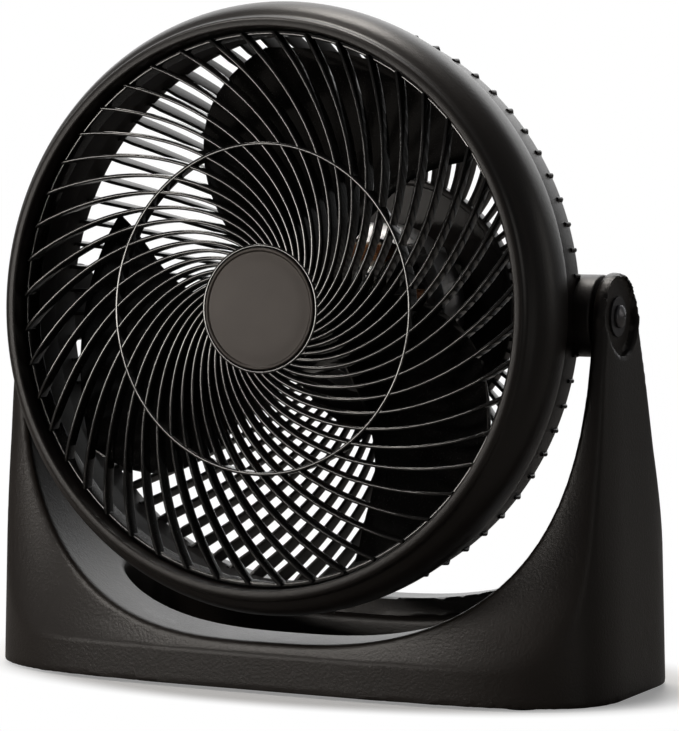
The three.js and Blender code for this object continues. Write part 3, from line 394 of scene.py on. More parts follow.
SHELL = grained_shell("satin_shell", (0.0130, 0.0102, 0.0092), (0.0170, 0.0136, 0.0122), 0.07, 0.33)
STAND = grained_shell("satin_stand", (0.0180, 0.0142, 0.0122), (0.0235, 0.0188, 0.0160), 0.14, 0.33)
GLOSS = gloss_black("gloss_black")
BADGE = badge_satin("badge_satin")
CHROME = bright_metal("bright_metal", (0.72, 0.71, 0.70), 0.10, 0.24, (1, 6, 1))
SCREW_STEEL = bright_metal("screw_steel", (0.62, 0.61, 0.59), 0.16, 0.34)
DARK_STEEL = bright_metal("dark_steel", (0.16, 0.16, 0.17), 0.25, 0.45)
BRONZE = bright_metal("sintered_bronze", (0.55, 0.36, 0.16), 0.3, 0.5)
SHEETS = laminated_steel("laminated_steel")
COPPER = copper_wire("copper_wire")
NYLON = plain_plastic("natural_nylon", (0.58, 0.53, 0.43), (0.70, 0.65, 0.55), 0.42)
RUBBER = plain_plastic("foot_rubber", (0.012, 0.012, 0.012), (0.022, 0.021, 0.02), 0.72, 0.08)
THERMOSET = plain_plastic("dark_thermoset", (0.030, 0.020, 0.014), (0.050, 0.036, 0.026), 0.38)


# ---- from shapes to pieces
def in_head(points):
    """Head points (right, ahead, up) in mm, leaned back about the tilt axis, in metres."""
    right, ahead, up = points[..., 0], points[..., 1], points[..., 2]
    y = -ahead * math.cos(TILT) + up * math.sin(TILT)
    z = up * math.cos(TILT) + ahead * math.sin(TILT)
    return np.stack([right, y, z], -1) / 1000 + PIVOT


def in_stand(points):
    """Stand points (right, behind the tilt axis, above the floor) in mm, in metres."""
    return points / 1000 + np.array([0, PIVOT[1], 0])


def about_fan_axis(radius, ahead, angle):
    """Head points on circles round the fan axis; the angle runs from right towards up."""
    return np.stack(np.broadcast_arrays(
        radius * np.cos(angle), ahead, radius * np.sin(angle)), -1)


def circle(segments):
    """A column of angles once round; the last repeats the first."""
    return np.linspace(0, 2 * math.pi, segments + 1)[:, None]


def upright(line, x, y, segments=48):
    """Turns an outline of (radius, height) about the upright axis through (x, y)."""
    angle = circle(segments)
    return np.stack(np.broadcast_arrays(
        x + line[:, 0] * np.cos(angle), y + line[:, 0] * np.sin(angle), line[:, 1]), -1)


def sideways(line, side, segments=48):
    """Turns an outline of (radius, distance out) about the tilt axis, on one side."""
    angle = circle(segments)
    return np.stack(np.broadcast_arrays(
        side * line[:, 1], line[:, 0] * np.cos(angle), line[:, 0] * np.sin(angle)), -1)


def bezier(points, count=160):
    """Points along a cubic: (1-t)^3 a + 3t(1-t)^2 b + 3t^2(1-t) c + t^3 d for t from 0 to 1."""
    t = np.linspace(0, 1, count)[:, None]
    a, b, c, d = (np.array(point, float) for point in points)
    return (1 - t) ** 3 * a + 3 * t * (1 - t) ** 2 * b + 3 * t ** 2 * (1 - t) * c + t ** 3 * d


def smooth_line(corners, steps=5):
    """A polyline whose inner corners, given as (x, y, radius), are rounded by parabolas.

    Each runs (1-t)^2 start + 2t(1-t) corner + t^2 end, with its ends a radius from the corner.
    """
    corners = np.array(corners, float)
    places, radii = corners[:, :2], corners[:, 2]
    line = [places[:1]]
    t = np.linspace(0, 1, steps)[:, None]
    for before, here, after, radius in zip(places, places[1:], places[2:], radii[1:]):
        back, onward = before - here, after - here
        reach = [min(radius, 0.49 * np.hypot(*side)) / np.hypot(*side) for side in (back, onward)]
        start, end = here + back * reach[0], here + onward * reach[1]
        line.append((1 - t) ** 2 * start + 2 * t * (1 - t) * here + t ** 2 * end)
    return np.concatenate(line + [places[-1:]])


class Shape:
    """Grids of points gathered into one closed mesh piece."""

    def __init__(self, place):
        self.place = place
        self.points = []
        self.quads = []
        self.count = 0

    def add(self, grid):
        """Adds one or more grids of points; quads join each point to its neighbours."""
        *many, rows, columns, _ = grid.shape
        sheets = int(np.prod(many)) if many else 1
        index = np.arange(sheets * rows * columns).reshape(sheets, rows, columns) + self.count
        quads = np.stack([
            index[:, :-1, :-1], index[:, 1:, :-1], index[:, 1:, 1:], index[:, :-1, 1:],
        ], -1)
        self.points.append(grid.reshape(-1, 3))
        self.quads.append(quads.reshape(-1, 4))
        self.count = index[-1, -1, -1] + 1
        return self

    def turn(self, profile, segments):
        """Turns a profile of (radius, ahead) round the fan axis."""
        return self.add(about_fan_axis(profile[:, 0], profile[:, 1], circle(segments)))

    def ring(self, corners, segments=180, steps=5):
        """Turns a closed outline whose every corner (radius, ahead, rounding) is rounded."""
        loop = [corners[-1], *corners, corners[0]]
        line = smooth_line(loop, steps)[1:-1]
        return self.turn(np.concatenate([line, line[:1]]), segments)

    def knob(self, corners, segments=48, across=0.0, up=0.0, steps=5):
        """Turns an outline that starts and ends on an axis parallel to the fan axis."""
        line = smooth_line(corners, steps)
        grid = about_fan_axis(line[:, 0], line[:, 1], circle(segments))
        return self.add(grid + np.array([across, 0, up]))

    def piece(self, name, material, body, slot, *nodes, crease=40):
        """Merges seams, points faces outwards and makes the object.

        It rides on the body and stands for the nodes named. The slot is not used.
        """
        points = self.place(np.concatenate(self.points))
        quads = np.concatenate(self.quads)
        mesh = bpy.data.meshes.new(name)
        mesh.vertices.add(len(points))
        mesh.vertices.foreach_set("co", points.astype(np.float32).ravel())
        mesh.loops.add(quads.size)
        mesh.loops.foreach_set("vertex_index", quads.astype(np.int32).ravel())
        mesh.polygons.add(len(quads))
        mesh.polygons.foreach_set("loop_start", np.arange(0, quads.size, 4, dtype=np.int32))
        mesh.update(calc_edges=True)
        work = bmesh.new()
        work.from_mesh(mesh)
        bmesh.ops.remove_doubles(work, verts=work.verts, dist=2e-6)
        bmesh.ops.recalc_face_normals(work, faces=work.faces)
        work.to_mesh(mesh)
        work.free()
        mesh.polygons.foreach_set("use_smooth", np.ones(len(mesh.polygons), dtype=bool))
        mesh.set_sharp_from_angle(angle=math.radians(crease))
        mesh.materials.append(material)
        made = bpy.data.objects.new(name, mesh)
        bpy.context.scene.collection.objects.link(made)
        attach(made, body)
        if nodes:
            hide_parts(*nodes)
        return made


def sweep(paths, across, over, section):
    """Carries a closed section along paths.

    A point is path + across * s + over * t for each (s, t) of the section; the first and last
    rings shrink to their middles, which closes the ends.
    """
    ring = np.concatenate([section, section[:1]])
    grid = (paths[..., None, :] + across[..., None, :] * ring[:, :1]
            + over[..., None, :] * ring[:, 1:])
    middles = grid[..., :-1, :].mean(-2, keepdims=True) * np.ones((len(ring), 1))
    return np.concatenate([middles[..., :1, :, :], grid, middles[..., -1:, :, :]], -3)


def rounded_bar(width, depth, corner, steps=3):
    """The outline of a bar: corners at (+-width / 2, 0 or depth), rounded."""
    half = width / 2
    loop = [(-half, 0), (half, 0), (half, depth), (-half, depth)]
    corners = [(x, y, corner) for x, y in [loop[-1], *loop, loop[0]]]
    return smooth_line(corners, steps)[1:-1]


# ---- stand
def oval_distance(u, v, half_u, half_v, exponent):
    """About how far (u, v) lies outside the superellipse with these half axes."""
    p = np.abs(u) / half_u + 1e-9
    q = np.abs(v) / half_v + 1e-9
    size = (p ** exponent + q ** exponent) ** (1 / exponent)
    slope = np.hypot((p / size) ** (exponent - 1) / half_u, (q / size) ** (exponent - 1) / half_v)
    return (size - 1) / slope


def meet(a, b, radius):
    """The intersection of two distances, with the edge rounded off over a radius."""
    blend = np.maximum(radius - np.abs(a - b), 0) / radius
    return np.maximum(a, b) + blend ** 2 * radius / 4


def arm_edge(angle_degrees):
    """The point of the arm's round top in that direction, as (behind, above the floor)."""
    angle = math.radians(angle_degrees)
    return ARM_RADIUS * math.cos(angle), PIVOT_HEIGHT + ARM_RADIUS * math.sin(angle)


SCOOP = bezier([
    (-STAND_FRONT, CREASE_HEIGHT), (-STAND_FRONT * 0.56, CREASE_HEIGHT * 2.1),
    (-STAND_FRONT * 0.54, PIVOT_HEIGHT * 0.45), arm_edge(190),
])
BACK_EDGE = bezier([
    (STAND_BACK + 8, 0), (STAND_BACK * 0.8, PIVOT_HEIGHT * 0.25),
    (STAND_BACK * 0.42, PIVOT_HEIGHT * 0.72), arm_edge(-20),
])


def edge_distance(curve, side, y, z):
    """How far a point lies outside a curve of the side view, square to the curve.

    y is compared with the curve's y at height z and the gap is shortened by the slope there.
    """
    heights = np.linspace(curve[0, 1], PIVOT_HEIGHT, 400)
    below = np.minimum(PIVOT_HEIGHT - heights, ARM_RADIUS)
    round_end = side * np.sqrt(ARM_RADIUS ** 2 - below ** 2)
    line = np.interp(heights, curve[:, 1], curve[:, 0])
    line = np.where(heights > curve[-1, 1], round_end, line)
    slope = np.gradient(line, heights)
    here = np.interp(z, heights, line)
    lean = np.interp(z, heights, slope)
    return side * (y - here) / np.sqrt(1 + lean ** 2)


def stand_outside(x, y, z):
    """How far a point lies outside the stand's skin.

    The largest of: walls, a superellipse that narrows with height; a chamfer between them and
    the scooped front; the front and back edges of the side view; and minus the U trough and
    minus the well. Every pair meets with a rounded edge.
    """
    lean = ARM_LEAN * np.maximum(z, 0) / PIVOT_HEIGHT
    width = STAND_HALF_WIDTH - lean
    across = np.minimum(np.abs(x) / width, 1.0)
    depth = np.where(y < WIDEST_Y, STAND_FRONT + WIDEST_Y - FRONT_BOW * across ** 2,
                     STAND_BACK - WIDEST_Y - BACK_BOW * across ** 2)
    squareness = np.where(y < WIDEST_Y, CORNER_POWER, BACK_CORNER_POWER)
    walls = oval_distance(x, y - WIDEST_Y, width, depth, squareness)
    front = edge_distance(SCOOP, -1, y, z)
    back = edge_distance(BACK_EDGE, 1, y, z)
    top = np.hypot(y, np.maximum(z - PIVOT_HEIGHT, 0)) - ARM_RADIUS
    front = np.where(z > PIVOT_HEIGHT, top, front)
    back = np.where(z > PIVOT_HEIGHT, top, back)
    rise = np.clip((z - CHAMFER_LOW) / CHAMFER_RISE, 0, 1)
    chamfer = (walls + front) * math.sqrt(0.5) + CREASE_CHAMFER - CHAMFER_LOSS * rise
    skin = meet(walls, chamfer, CREASE_ROUND)
    below_end = PIVOT_HEIGHT - ARM_ROUND_DROP - z
    crisp = ARM_ROUND + FOOT_ROUND * np.clip(below_end / ARM_ROUND_FADE, 0, 1)
    skin = meet(skin, front, crisp)
    skin = meet(skin, back, crisp)
    below = np.maximum(PIVOT_HEIGHT - z, 0)
    deep = oval_distance(x, below, TROUGH_HALF_WIDTH, TROUGH_DEPTH, TROUGH_POWER)
    shallow = oval_distance(x, below, TROUGH_HALF_WIDTH, PIVOT_HEIGHT - BACK_BAR_HEIGHT,
                            TROUGH_POWER)
    trough = np.minimum(np.maximum(deep, y - BACK_BAR_FRONT), shallow)
    skin = meet(skin, -trough, TROUGH_ROUND)
    middle = (WELL_BACK - WELL_FRONT) / 2
    half = (WELL_BACK + WELL_FRONT) / 2
    well = oval_distance(x, y - middle, WELL_HALF_WIDTH, half, WELL_POWER)
    return meet(skin, -well, WELL_ROUND)


def stand_field(points):
    """Negative inside the stand's plastic: a skin of even wall, solid arm ends and foot posts."""
    x, y, z = points[..., 0], points[..., 1], points[..., 2]
    skin = stand_outside(x, y, z)
    arm_room = PIVOT_HEIGHT - ARM_RADIUS - BOSS_RADIUS / 2
    hollow = np.maximum(skin + WALL, z - arm_room)
    shell = np.maximum(skin, -hollow)
    foot_y = np.where(y < (FOOT_FRONT_Y + FOOT_BACK_Y) / 2, FOOT_FRONT_Y, FOOT_BACK_Y)
    post = np.hypot(np.abs(x) - FOOT_X, y - foot_y) - FOOT_RADIUS - POST_WALL
    post = np.maximum(np.maximum(post, skin + WALL / 2), FOOT_HEIGHT + 0.1 - z)
    shell = np.minimum(shell, post)
    recess = np.maximum(np.hypot(y, z - PIVOT_HEIGHT) - RECESS_RADIUS, RECESS_FLOOR - np.abs(x))
    shell = meet(shell, -recess, SHARP_ROUND)
    return meet(shell, SHELL_LIFT - z, SHARP_ROUND)


def net_surface(field, low, high, step):
    """Wraps the zero surface of a field in quads, one point for each grid cell it crosses.

    Each point starts at the mean of the cell's edge crossings and slides down the field's
    slope onto the surface.
    """
    axes = [np.arange(a, b + step, step) for a, b in zip(low, high)]
    grid = np.stack(np.meshgrid(*axes, indexing="ij"), -1)
    value = field(grid).astype(np.float32)
    inside = value < 0
    cells = tuple(length - 1 for length in value.shape)
    total = np.zeros((*cells, 3), np.float32)
    hits = np.zeros(cells, np.float32)
    corners = [np.array(c) for c in np.ndindex(2, 2, 2)]
    window = lambda a, c: a[c[0]:c[0] + cells[0], c[1]:c[1] + cells[1], c[2]:c[2] + cells[2]]
    for axis in range(3):
        for start in corners:
            if start[axis]:
                continue
            end = start.copy()
            end[axis] = 1
            a, b = window(value, start), window(value, end)
            crossed = (a < 0) != (b < 0)
            share = np.where(crossed, a / np.where(crossed, a - b, 1), 0)
            total += np.where(crossed[..., None], start, 0)
            total[..., axis] += share
            hits += crossed
    used = hits > 0
    index = np.full(cells, -1)
    index[used] = np.arange(used.sum())
    corner = grid[:-1, :-1, :-1][used]
    points = corner + total[used] / hits[used][:, None] * step
    quads = []
    for axis in range(3):
        one, two = [other for other in range(3) if other != axis]
        core = [slice(0, None)] * 3
        core[axis] = slice(0, cells[axis])
        for other in (one, two):
            core[other] = slice(1, cells[other])
        start = inside[tuple(core)]
        core[axis] = slice(1, cells[axis] + 1)
        end = inside[tuple(core)]
        place = np.argwhere(start != end)
        place[:, one] += 1
        place[:, two] += 1
        around = []
        for shift_one, shift_two in ((1, 1), (0, 1), (0, 0), (1, 0)):
            cell = place.copy()
            cell[:, one] -= shift_one
            cell[:, two] -= shift_two
            around.append(index[tuple(cell.T)])
        quads.append(np.stack(around, -1))
    tiny = 0.05
    for _ in range(4):
        slope = np.stack([
            (field(points + shift) - field(points - shift)) / (2 * tiny)
            for shift in np.eye(3) * tiny
        ], -1)
        length = np.maximum((slope ** 2).sum(-1), 0.25)
        move = -(field(points) / length)[:, None] * slope
        points = points + np.clip(move, -step / 2, step / 2)
    return points, np.concatenate(quads)


def build_stand():
    """The stand's moulding, wrapped round the field on a grid that reaches past it."""
    shape = Shape(in_stand)
    low = np.array([-STAND_HALF_WIDTH, -STAND_FRONT, SHELL_LIFT]) - NET_MARGIN
    high = np.array([STAND_HALF_WIDTH, STAND_BACK, PIVOT_HEIGHT + ARM_RADIUS]) + NET_MARGIN
    points, quads = net_surface(stand_field, low, high, NET_STEP)
    shape.points, shape.quads = [points], [quads]
    shape.piece("stand_moulding", STAND, "stand", "shell", "stand_shell", crease=50)


def build_feet():
    """Four rubber pads, each a disc with a rounded edge and a shallow hollow in its sole."""
    for front in (True, False):
        for side in (-1, 1):
            shape = Shape(in_stand)
            y = FOOT_FRONT_Y if front else FOOT_BACK_Y
            line = smooth_line([
                (0, 0.4, 0), (FOOT_RADIUS - 3, 0.4, 0.4), (FOOT_RADIUS - 2.6, 0, 0.3),
                (FOOT_RADIUS, 0, 0.8), (FOOT_RADIUS, FOOT_HEIGHT, 0.4), (0, FOOT_HEIGHT, 0),
            ])
            shape.add(upright(line, side * FOOT_X, y))
            node = f"foot_{'front' if front else 'rear'}_{'right' if side > 0 else 'left'}"
            shape.piece(f"pad_{node}", RUBBER, "stand", "rubber", node)


# ---- head: shell and grilles
def build_front_shell():
    """The shell turned from its outline: a beaded lip, a full shoulder and an inner collar."""
    collar = LIP_INNER - 0.5
    ledge = GRILLE_FRONT - RIB_DEPTH - 5
    shape = Shape(in_head)
    shape.ring([
        (LIP_INNER, LIP_FRONT, 0.9),
        (LIP_RADIUS + 0.3, LIP_FRONT, 1.7),
        (LIP_RADIUS + 0.9, LIP_FRONT - 3.2, 1.2),
        (LIP_RADIUS + 4.6, LIP_FRONT - 6.4, 4.5),
        (HEAD_RADIUS - 0.3, HEAD_WIDEST + 8, 6.5),
        (HEAD_RADIUS, HEAD_WIDEST, 6.0),
        (HEAD_RADIUS - 1.0, SEAM_FRONT + 3.2, 4.0),
        (SEAM_RADIUS, SEAM_FRONT, 0.5),
        (SEAM_RADIUS - SKIN, SEAM_FRONT, 0.4),
        (HEAD_RADIUS - SKIN, HEAD_WIDEST, 5.0),
        (LIP_RADIUS + 1.5, LIP_FRONT - 8.5, 3.0),
        (collar + SKIN, SEAM_FRONT + 3, 0.8),
        (collar - LEDGE, SEAM_FRONT + 3, 0.5),
        (collar - LEDGE, ledge, 0.5),
        (collar, ledge, 0.3),
        (LIP_INNER - 0.3, LIP_FRONT - 2.2, 0.6),
    ], segments=288, steps=7)
    shape.piece("front_shell_moulding", SHELL, "head", "shell", "front_shell", crease=60)


def rib_angle(radius):
    """How far a rib has turned by a radius: a logarithmic spiral."""
    return RIB_SWIRL * np.log(radius / HUB_RADIUS)


def build_front_grille():
    """Ribs on logarithmic spirals between a hub cup and a rim, with a ring half way.

    A rib's radius is inner * (outer / inner) ** t and its angle is rib_angle(radius), so it
    crosses every circle at the same slant, atan(RIB_SWIRL).
    """
    shape = Shape(in_head)
    inner = HUB_RADIUS + CLEAR + HUB_RIM / 2
    outer = GRILLE_RIM - 0.8
    radius = inner * (outer / inner) ** np.linspace(0, 1, RIB_STATIONS)
    start = np.arange(RIB_COUNT)[:, None] * 2 * math.pi / RIB_COUNT
    angle = start + rib_angle(radius)
    sink = RIB_SINK * np.clip((radius - outer + 6) / 6, 0, 1) ** 2
    paths = about_fan_axis(radius, GRILLE_FRONT - sink, angle)
    heading = angle + math.atan(RIB_SWIRL)
    across = np.stack([-np.sin(heading), np.zeros_like(heading), np.cos(heading)], -1)
    over = np.zeros_like(across)
    over[..., 1] = -1
    shape.add(sweep(paths, across, over, rounded_bar(RIB_WIDTH, RIB_DEPTH, 0.55, 4)))
    back = GRILLE_FRONT - RIB_DEPTH
    seat = GRILLE_FRONT - BADGE_THICKNESS + 1
    rim = HUB_RADIUS + CLEAR + HUB_RIM
    shape.knob([
        (0, back, 0), (rim, back, 0.8), (rim, GRILLE_FRONT + 0.2, 0.7),
        (rim - HUB_RIM, GRILLE_FRONT + 0.2, 0.4), (rim - HUB_RIM, seat, 0.2), (0, seat, 0),
    ], segments=144)
    middle_ring = (MID_RING, 1.6, GRILLE_FRONT + 0.15, back)
    rim_ring = (GRILLE_RIM - 1, 2.0, GRILLE_FRONT - 2.2, back - 5)
    for middle, width, front, end in (middle_ring, rim_ring):
        shape.ring([
            (middle + width / 2, front, 0.6), (middle - width / 2, front, 0.6),
            (middle - width / 2, end, 0.3), (middle + width / 2, end, 0.3),
        ], segments=240)
    shape.piece("front_grille_moulding", GLOSS, "head", "gloss", "front_grille", crease=45)


def build_badge():
    """A bare disc, barely domed, with a rolled rim round its face."""
    seat = GRILLE_FRONT - BADGE_THICKNESS + 1.05
    edge = seat + BADGE_THICKNESS
    shape = Shape(in_head)
    shape.knob([
        (0, seat, 0), (HUB_RADIUS, seat, 0.3), (HUB_RADIUS, edge - 0.1, 0.6),
        (HUB_RADIUS - 1.2, edge - 0.1, 0.5), (HUB_RADIUS - 1.5, edge - 0.55, 0.35),
        (HUB_RADIUS - 6, edge - 0.3, 3.0), (0, edge - 0.1, 0),
    ], segments=144, steps=8)
    shape.piece("badge_disc", BADGE, "head", "badge", "hub_badge", crease=60)


def bowl_line():
    """The rear bowl's outside as (radius, ahead), a cubic from the band to the back plate."""
    middle = (SEAM_RADIUS + PLATE_RADIUS) / 2 - BOWL_SLACK
    return bezier([
        (SEAM_RADIUS - 2.2, DUCT_BACK - 1.5), (SEAM_RADIUS - BOWL_SHOULDER, -18),
        (middle, 8 - PLATE_BACK), (PLATE_RADIUS - 2, PLATE_THICKNESS / 2 - PLATE_BACK),
    ], BOWL_STATIONS)


def build_rear_grille():
    """Slats along the bowl between the front band and the back plate, and two pivot bosses.

    A slat follows the bowl's line in its own plane through the fan axis, stands square to it
    on the inside, and is deepest at the front.
    """
    shape = Shape(in_head)
    line = bowl_line()
    nose = np.array([[SEAM_RADIUS - 0.6, DUCT_BACK + 3.5], [SEAM_RADIUS - 0.3, DUCT_BACK - 0.5]])
    line = np.concatenate([nose, line[2:]])
    slope = np.gradient(line, axis=0)
    slope /= np.hypot(slope[:, 0], slope[:, 1])[:, None]
    inward = np.stack([slope[:, 1], -slope[:, 0]], -1)
    inward *= np.where(inward[:, :1] > 0, -1, 1)
    turn = (np.arange(SLAT_COUNT)[:, None] + 0.5) * 2 * math.pi / SLAT_COUNT
    paths = about_fan_axis(line[:, 0], line[:, 1], turn)
    over = about_fan_axis(inward[:, 0], inward[:, 1], turn)
    across = np.stack(np.broadcast_arrays(-np.sin(turn), 0, np.cos(turn)), -1)
    across = across * np.ones((1, len(line), 1))
    deeper = 1 + 0.6 * np.clip(1 - np.arange(len(line)) / 18, 0, 1)
    over = over * deeper[:, None]
    shape.add(sweep(paths, across, over, rounded_bar(SLAT_WIDTH, SLAT_DEPTH, 0.6, 3)))
    outer = SEAM_RADIUS - 0.4
    shape.ring([
        (outer, SEAM_FRONT - CLEAR, 0.6), (outer - 1.4, DUCT_BACK - 3, 1.6),
        (DUCT_RADIUS, DUCT_BACK - 3, 0.8), (DUCT_RADIUS - 0.6, SEAM_FRONT + 2, 0.4),
        (DUCT_RADIUS + SKIN - 1, SEAM_FRONT + 2, 0.4), (DUCT_RADIUS + SKIN, DUCT_BACK + 1, 0.8),
        (outer - 1.6 - SKIN, DUCT_BACK + 1, 0.8), (outer - SKIN, SEAM_FRONT - CLEAR, 0.4),
    ], segments=288)
    plate_front = PLATE_THICKNESS - PLATE_BACK
    shape.ring([
        (PLATE_RADIUS, -PLATE_BACK, 0.8), (PLATE_RADIUS, plate_front + SLAT_DEPTH, 1.0),
        (PLATE_RADIUS - 3, plate_front + SLAT_DEPTH, 1.0), (PLATE_RADIUS - 3, plate_front, 0.6),
        (11, plate_front, 0.5), (11, -PLATE_BACK, 0.5),
    ], segments=144)
    boss_end = TROUGH_HALF_WIDTH - 0.8 - 3 * CLEAR
    outline = smooth_line([
        (0, DUCT_RADIUS + 0.5, 0), (BOSS_RADIUS, DUCT_RADIUS + 0.5, 0.3),
        (BOSS_RADIUS, boss_end, 1.0), (0, boss_end, 0),
    ])
    for side in (-1, 1):
        shape.add(sideways(outline, side, segments=96))
    shape.piece("rear_grille_moulding", SHELL, "head", "shell", "rear_grille", crease=45)


# ---- impeller
def build_impeller():
    """Three broad blades on a cup: each is a helical sheet that thins towards its edges.

    Across the blade s runs from the front edge to the back edge and v from root to tip; the
    angle sweeps with v squared and the corners of the tip are drawn in.
    """
    shape = Shape(in_head)
    v = np.linspace(0, 1, 30)[:, None]
    s = np.linspace(0, 1, 44)[None, :]
    root = SPIDER_RADIUS - 1.2
    bulge = np.sin(math.pi * s) ** 0.5
    reach = 1 - np.maximum(v - 0.7, 0) ** 2 * 2.2 * (1 - bulge)
    span = np.radians(BLADE_ROOT_SPAN + (BLADE_TIP_SPAN - BLADE_ROOT_SPAN) * v) * reach
    radius = (root + (BLADE_TIP - root) * v) * np.ones_like(s)
    depth = 0.5 + (s - 0.5) * (0.62 + 0.38 * v)
    camber = 2.6 * np.sin(math.pi * s) * (1 - 0.4 * v)
    ahead = BLADE_FRONT + (BLADE_BACK - BLADE_FRONT) * depth
    thin = BLADE_THICKNESS / 2 * np.sqrt(np.maximum(1 - np.abs(2 * s - 1) ** 6, 0))
    thin = thin * np.sqrt(np.maximum(1 - v ** 24, 0)) * (1.25 - 0.35 * v)
    for blade in range(BLADE_COUNT):
        middle = math.radians(BLADE_START + blade * 360 / BLADE_COUNT)
        angle = middle + math.radians(BLADE_SWEEP) * v ** 2 - (s - 0.5) * span
        front = about_fan_axis(radius, ahead - camber + thin, angle)
        back = about_fan_axis(radius, ahead - camber - thin, angle)
        shape.add(front).add(back)
        shape.add(np.stack([front[0], back[0]]))
    nose = SPIDER_FRONT
    shaft_hole = SHAFT_RADIUS + 0.15
    shape.knob([
        (0, nose, 0), (SPIDER_RADIUS - 1.5, nose, 6.0), (SPIDER_RADIUS, nose - 9, 3.0),
        (SPIDER_RADIUS, SPIDER_BACK, 0.6), (SPIDER_RADIUS - 2.4, SPIDER_BACK, 0.6),
        (SPIDER_RADIUS - 2.4, nose - 3, 1.5), (NUT_RADIUS, nose - 3, 1.0),
        (NUT_RADIUS, SPIDER_BACK - 8, 0.8), (shaft_hole, SPIDER_BACK - 8, 0.3),
        (shaft_hole, nose - 1.2, 0.2), (0, nose - 1.2, 0),
    ], segments=120)
    shape.piece("impeller_moulding", GLOSS, "rotor", "gloss", "impeller", crease=45)
    build_impeller_nut()


def build_impeller_nut():
    """A round nut with a fluted grip: the radius waves eight times round its side."""
    shape = Shape(in_head)
    seat = SPIDER_FRONT + 0.05
    line = smooth_line([
        (0, seat, 0), (NUT_RADIUS, seat, 0.4), (NUT_RADIUS, seat + 5.6, 1.2),
        (5.2, seat + 7, 1.4), (0, seat + 7, 0),
    ])
    angle = circle(128)
    wave = 1 - 0.06 * (0.5 + 0.5 * np.cos(8 * angle)) ** 2
    shape.add(about_fan_axis(line[:, 0] * wave, line[:, 1], angle))
    shape.piece("impeller_nut_fluted", GLOSS, "rotor", "gloss", "impeller_nut")


# ---- motor
POLES = ("top", "right", "bottom", "left")
AHEAD = np.array([0, 1, 0])


def pole_axes(pole):
    """A pole's angle from the right, and the directions out along it and across it."""
    angle = math.pi / 2 - pole * math.pi / 2
    along = np.array([math.cos(angle), 0, math.sin(angle)])
    side = np.array([math.sin(angle), 0, -math.cos(angle)])
    return angle, along, side


def build_coils():
    """One wire for each pole, wound in two layers round its bobbin.

    The wire's middle line is a superellipse: half size * sign(c) |c| ** COIL_POWER, for the
    cosine and the sine c of the turn. Its height above the shoe climbs to the yoke and comes
    back down one wire further out.
    """
    middle = STACK_FRONT - STACK_LENGTH / 2
    t = np.linspace(0, 2 * COIL_TURNS, 2 * COIL_TURNS * COIL_STEPS + 1)
    layer = np.clip((t - COIL_TURNS + 0.25) / 0.5, 0, 1)
    climb = np.where(t < COIL_TURNS, t / COIL_TURNS, 2 - t / COIL_TURNS)
    height = COIL_LOW + WIRE_RADIUS + (COIL_HIGH - COIL_LOW - 2 * WIRE_RADIUS) * climb
    out = 0.35 + WIRE_RADIUS + WIRE_PITCH * WIRE_RADIUS * layer
    turn = 2 * math.pi * t
    squared = lambda value: np.sign(value) * np.abs(value) ** COIL_POWER
    x = (POLE_WIDTH / 2 + BOBBIN_WALL + out) * squared(np.cos(turn))
    y = (STACK_LENGTH / 2 + BOBBIN_WALL + out) * squared(np.sin(turn))
    angle = np.linspace(0, 2 * math.pi, 7)[:-1]
    section = WIRE_RADIUS * np.stack([np.cos(angle), np.sin(angle)], -1)
    for pole, name in enumerate(POLES):
        _, along, side = pole_axes(pole)
        path = x[:, None] * side + (middle + y)[:, None] * AHEAD + height[:, None] * along
        heading = np.gradient(path, axis=0)
        heading /= np.linalg.norm(heading, axis=1)[:, None]
        across = np.cross(heading, along)
        across /= np.linalg.norm(across, axis=1)[:, None]
        shape = Shape(in_head)
        shape.add(sweep(path, across, np.cross(across, heading), section))
        shape.piece(f"winding_{name}", COPPER, "head", "copper", f"coil_{name}")


def build_stator():
    """A round yoke, four poles that carry the bobbins and an arched shoe on each."""
    front = STACK_FRONT
    back = front - STACK_LENGTH
    shape = Shape(in_head)
    shape.ring([
        (STATOR_RADIUS, front, 0.4), (YOKE_RADIUS, front, 0.3),
        (YOKE_RADIUS, back, 0.3), (STATOR_RADIUS, back, 0.4),
    ], 144)
    pole_section = rounded_bar(POLE_WIDTH - 0.2, front - back, 0.4)
    shoe_section = rounded_bar(SHOE_THICKNESS, front - back, 0.3)
    shoe_section = shoe_section + np.array([SHOE_THICKNESS / 2, 0])
    for pole in range(len(POLES)):
        heading, along, side = pole_axes(pole)
        ends = np.array([[SHOE_RADIUS + 1.7], [YOKE_RADIUS + 0.5]])
        path = along * ends + AHEAD * back
        shape.add(sweep(path, side * np.ones((2, 1)), AHEAD * np.ones((2, 1)), pole_section))
        angle = heading + np.linspace(-1, 1, 25) * math.radians(SHOE_HALF_ANGLE)
        path = about_fan_axis(SHOE_RADIUS, back, angle)
        outward = about_fan_axis(1.0, 0.0, angle)
        shape.add(sweep(path, outward, AHEAD * np.ones((25, 1)), shoe_section))
    shape.piece("stator_stack", SHEETS, "head", "laminations", "stator_core")


def finish_motor():
    """The motor's frame parts keep their solids and take metal and plastic finishes."""
    finishes = {
        "motor_bracket_front": CHROME, "motor_bracket_rear": CHROME,
        "bearing_front": BRONZE, "bearing_rear": BRONZE, "motor_shaft": SCREW_STEEL,
        "rotor_core": DARK_STEEL, "speed_switch": THERMOSET, "switch_spindle": NYLON,
    }
    finishes |= {f"bobbin_{name}": NYLON for name in POLES}
    finishes |= {f"motor_bolt_{i}": DARK_STEEL for i in range(1, 5)}
    for side in ("left", "right"):
        finishes |= {f"pivot_spacer_{side}": NYLON, f"pivot_washer_{side}": DARK_STEEL}
    for name, material in finishes.items():
        node = frame["nodes"][name]
        node.data.materials.clear()
        node.data.materials.append(material)


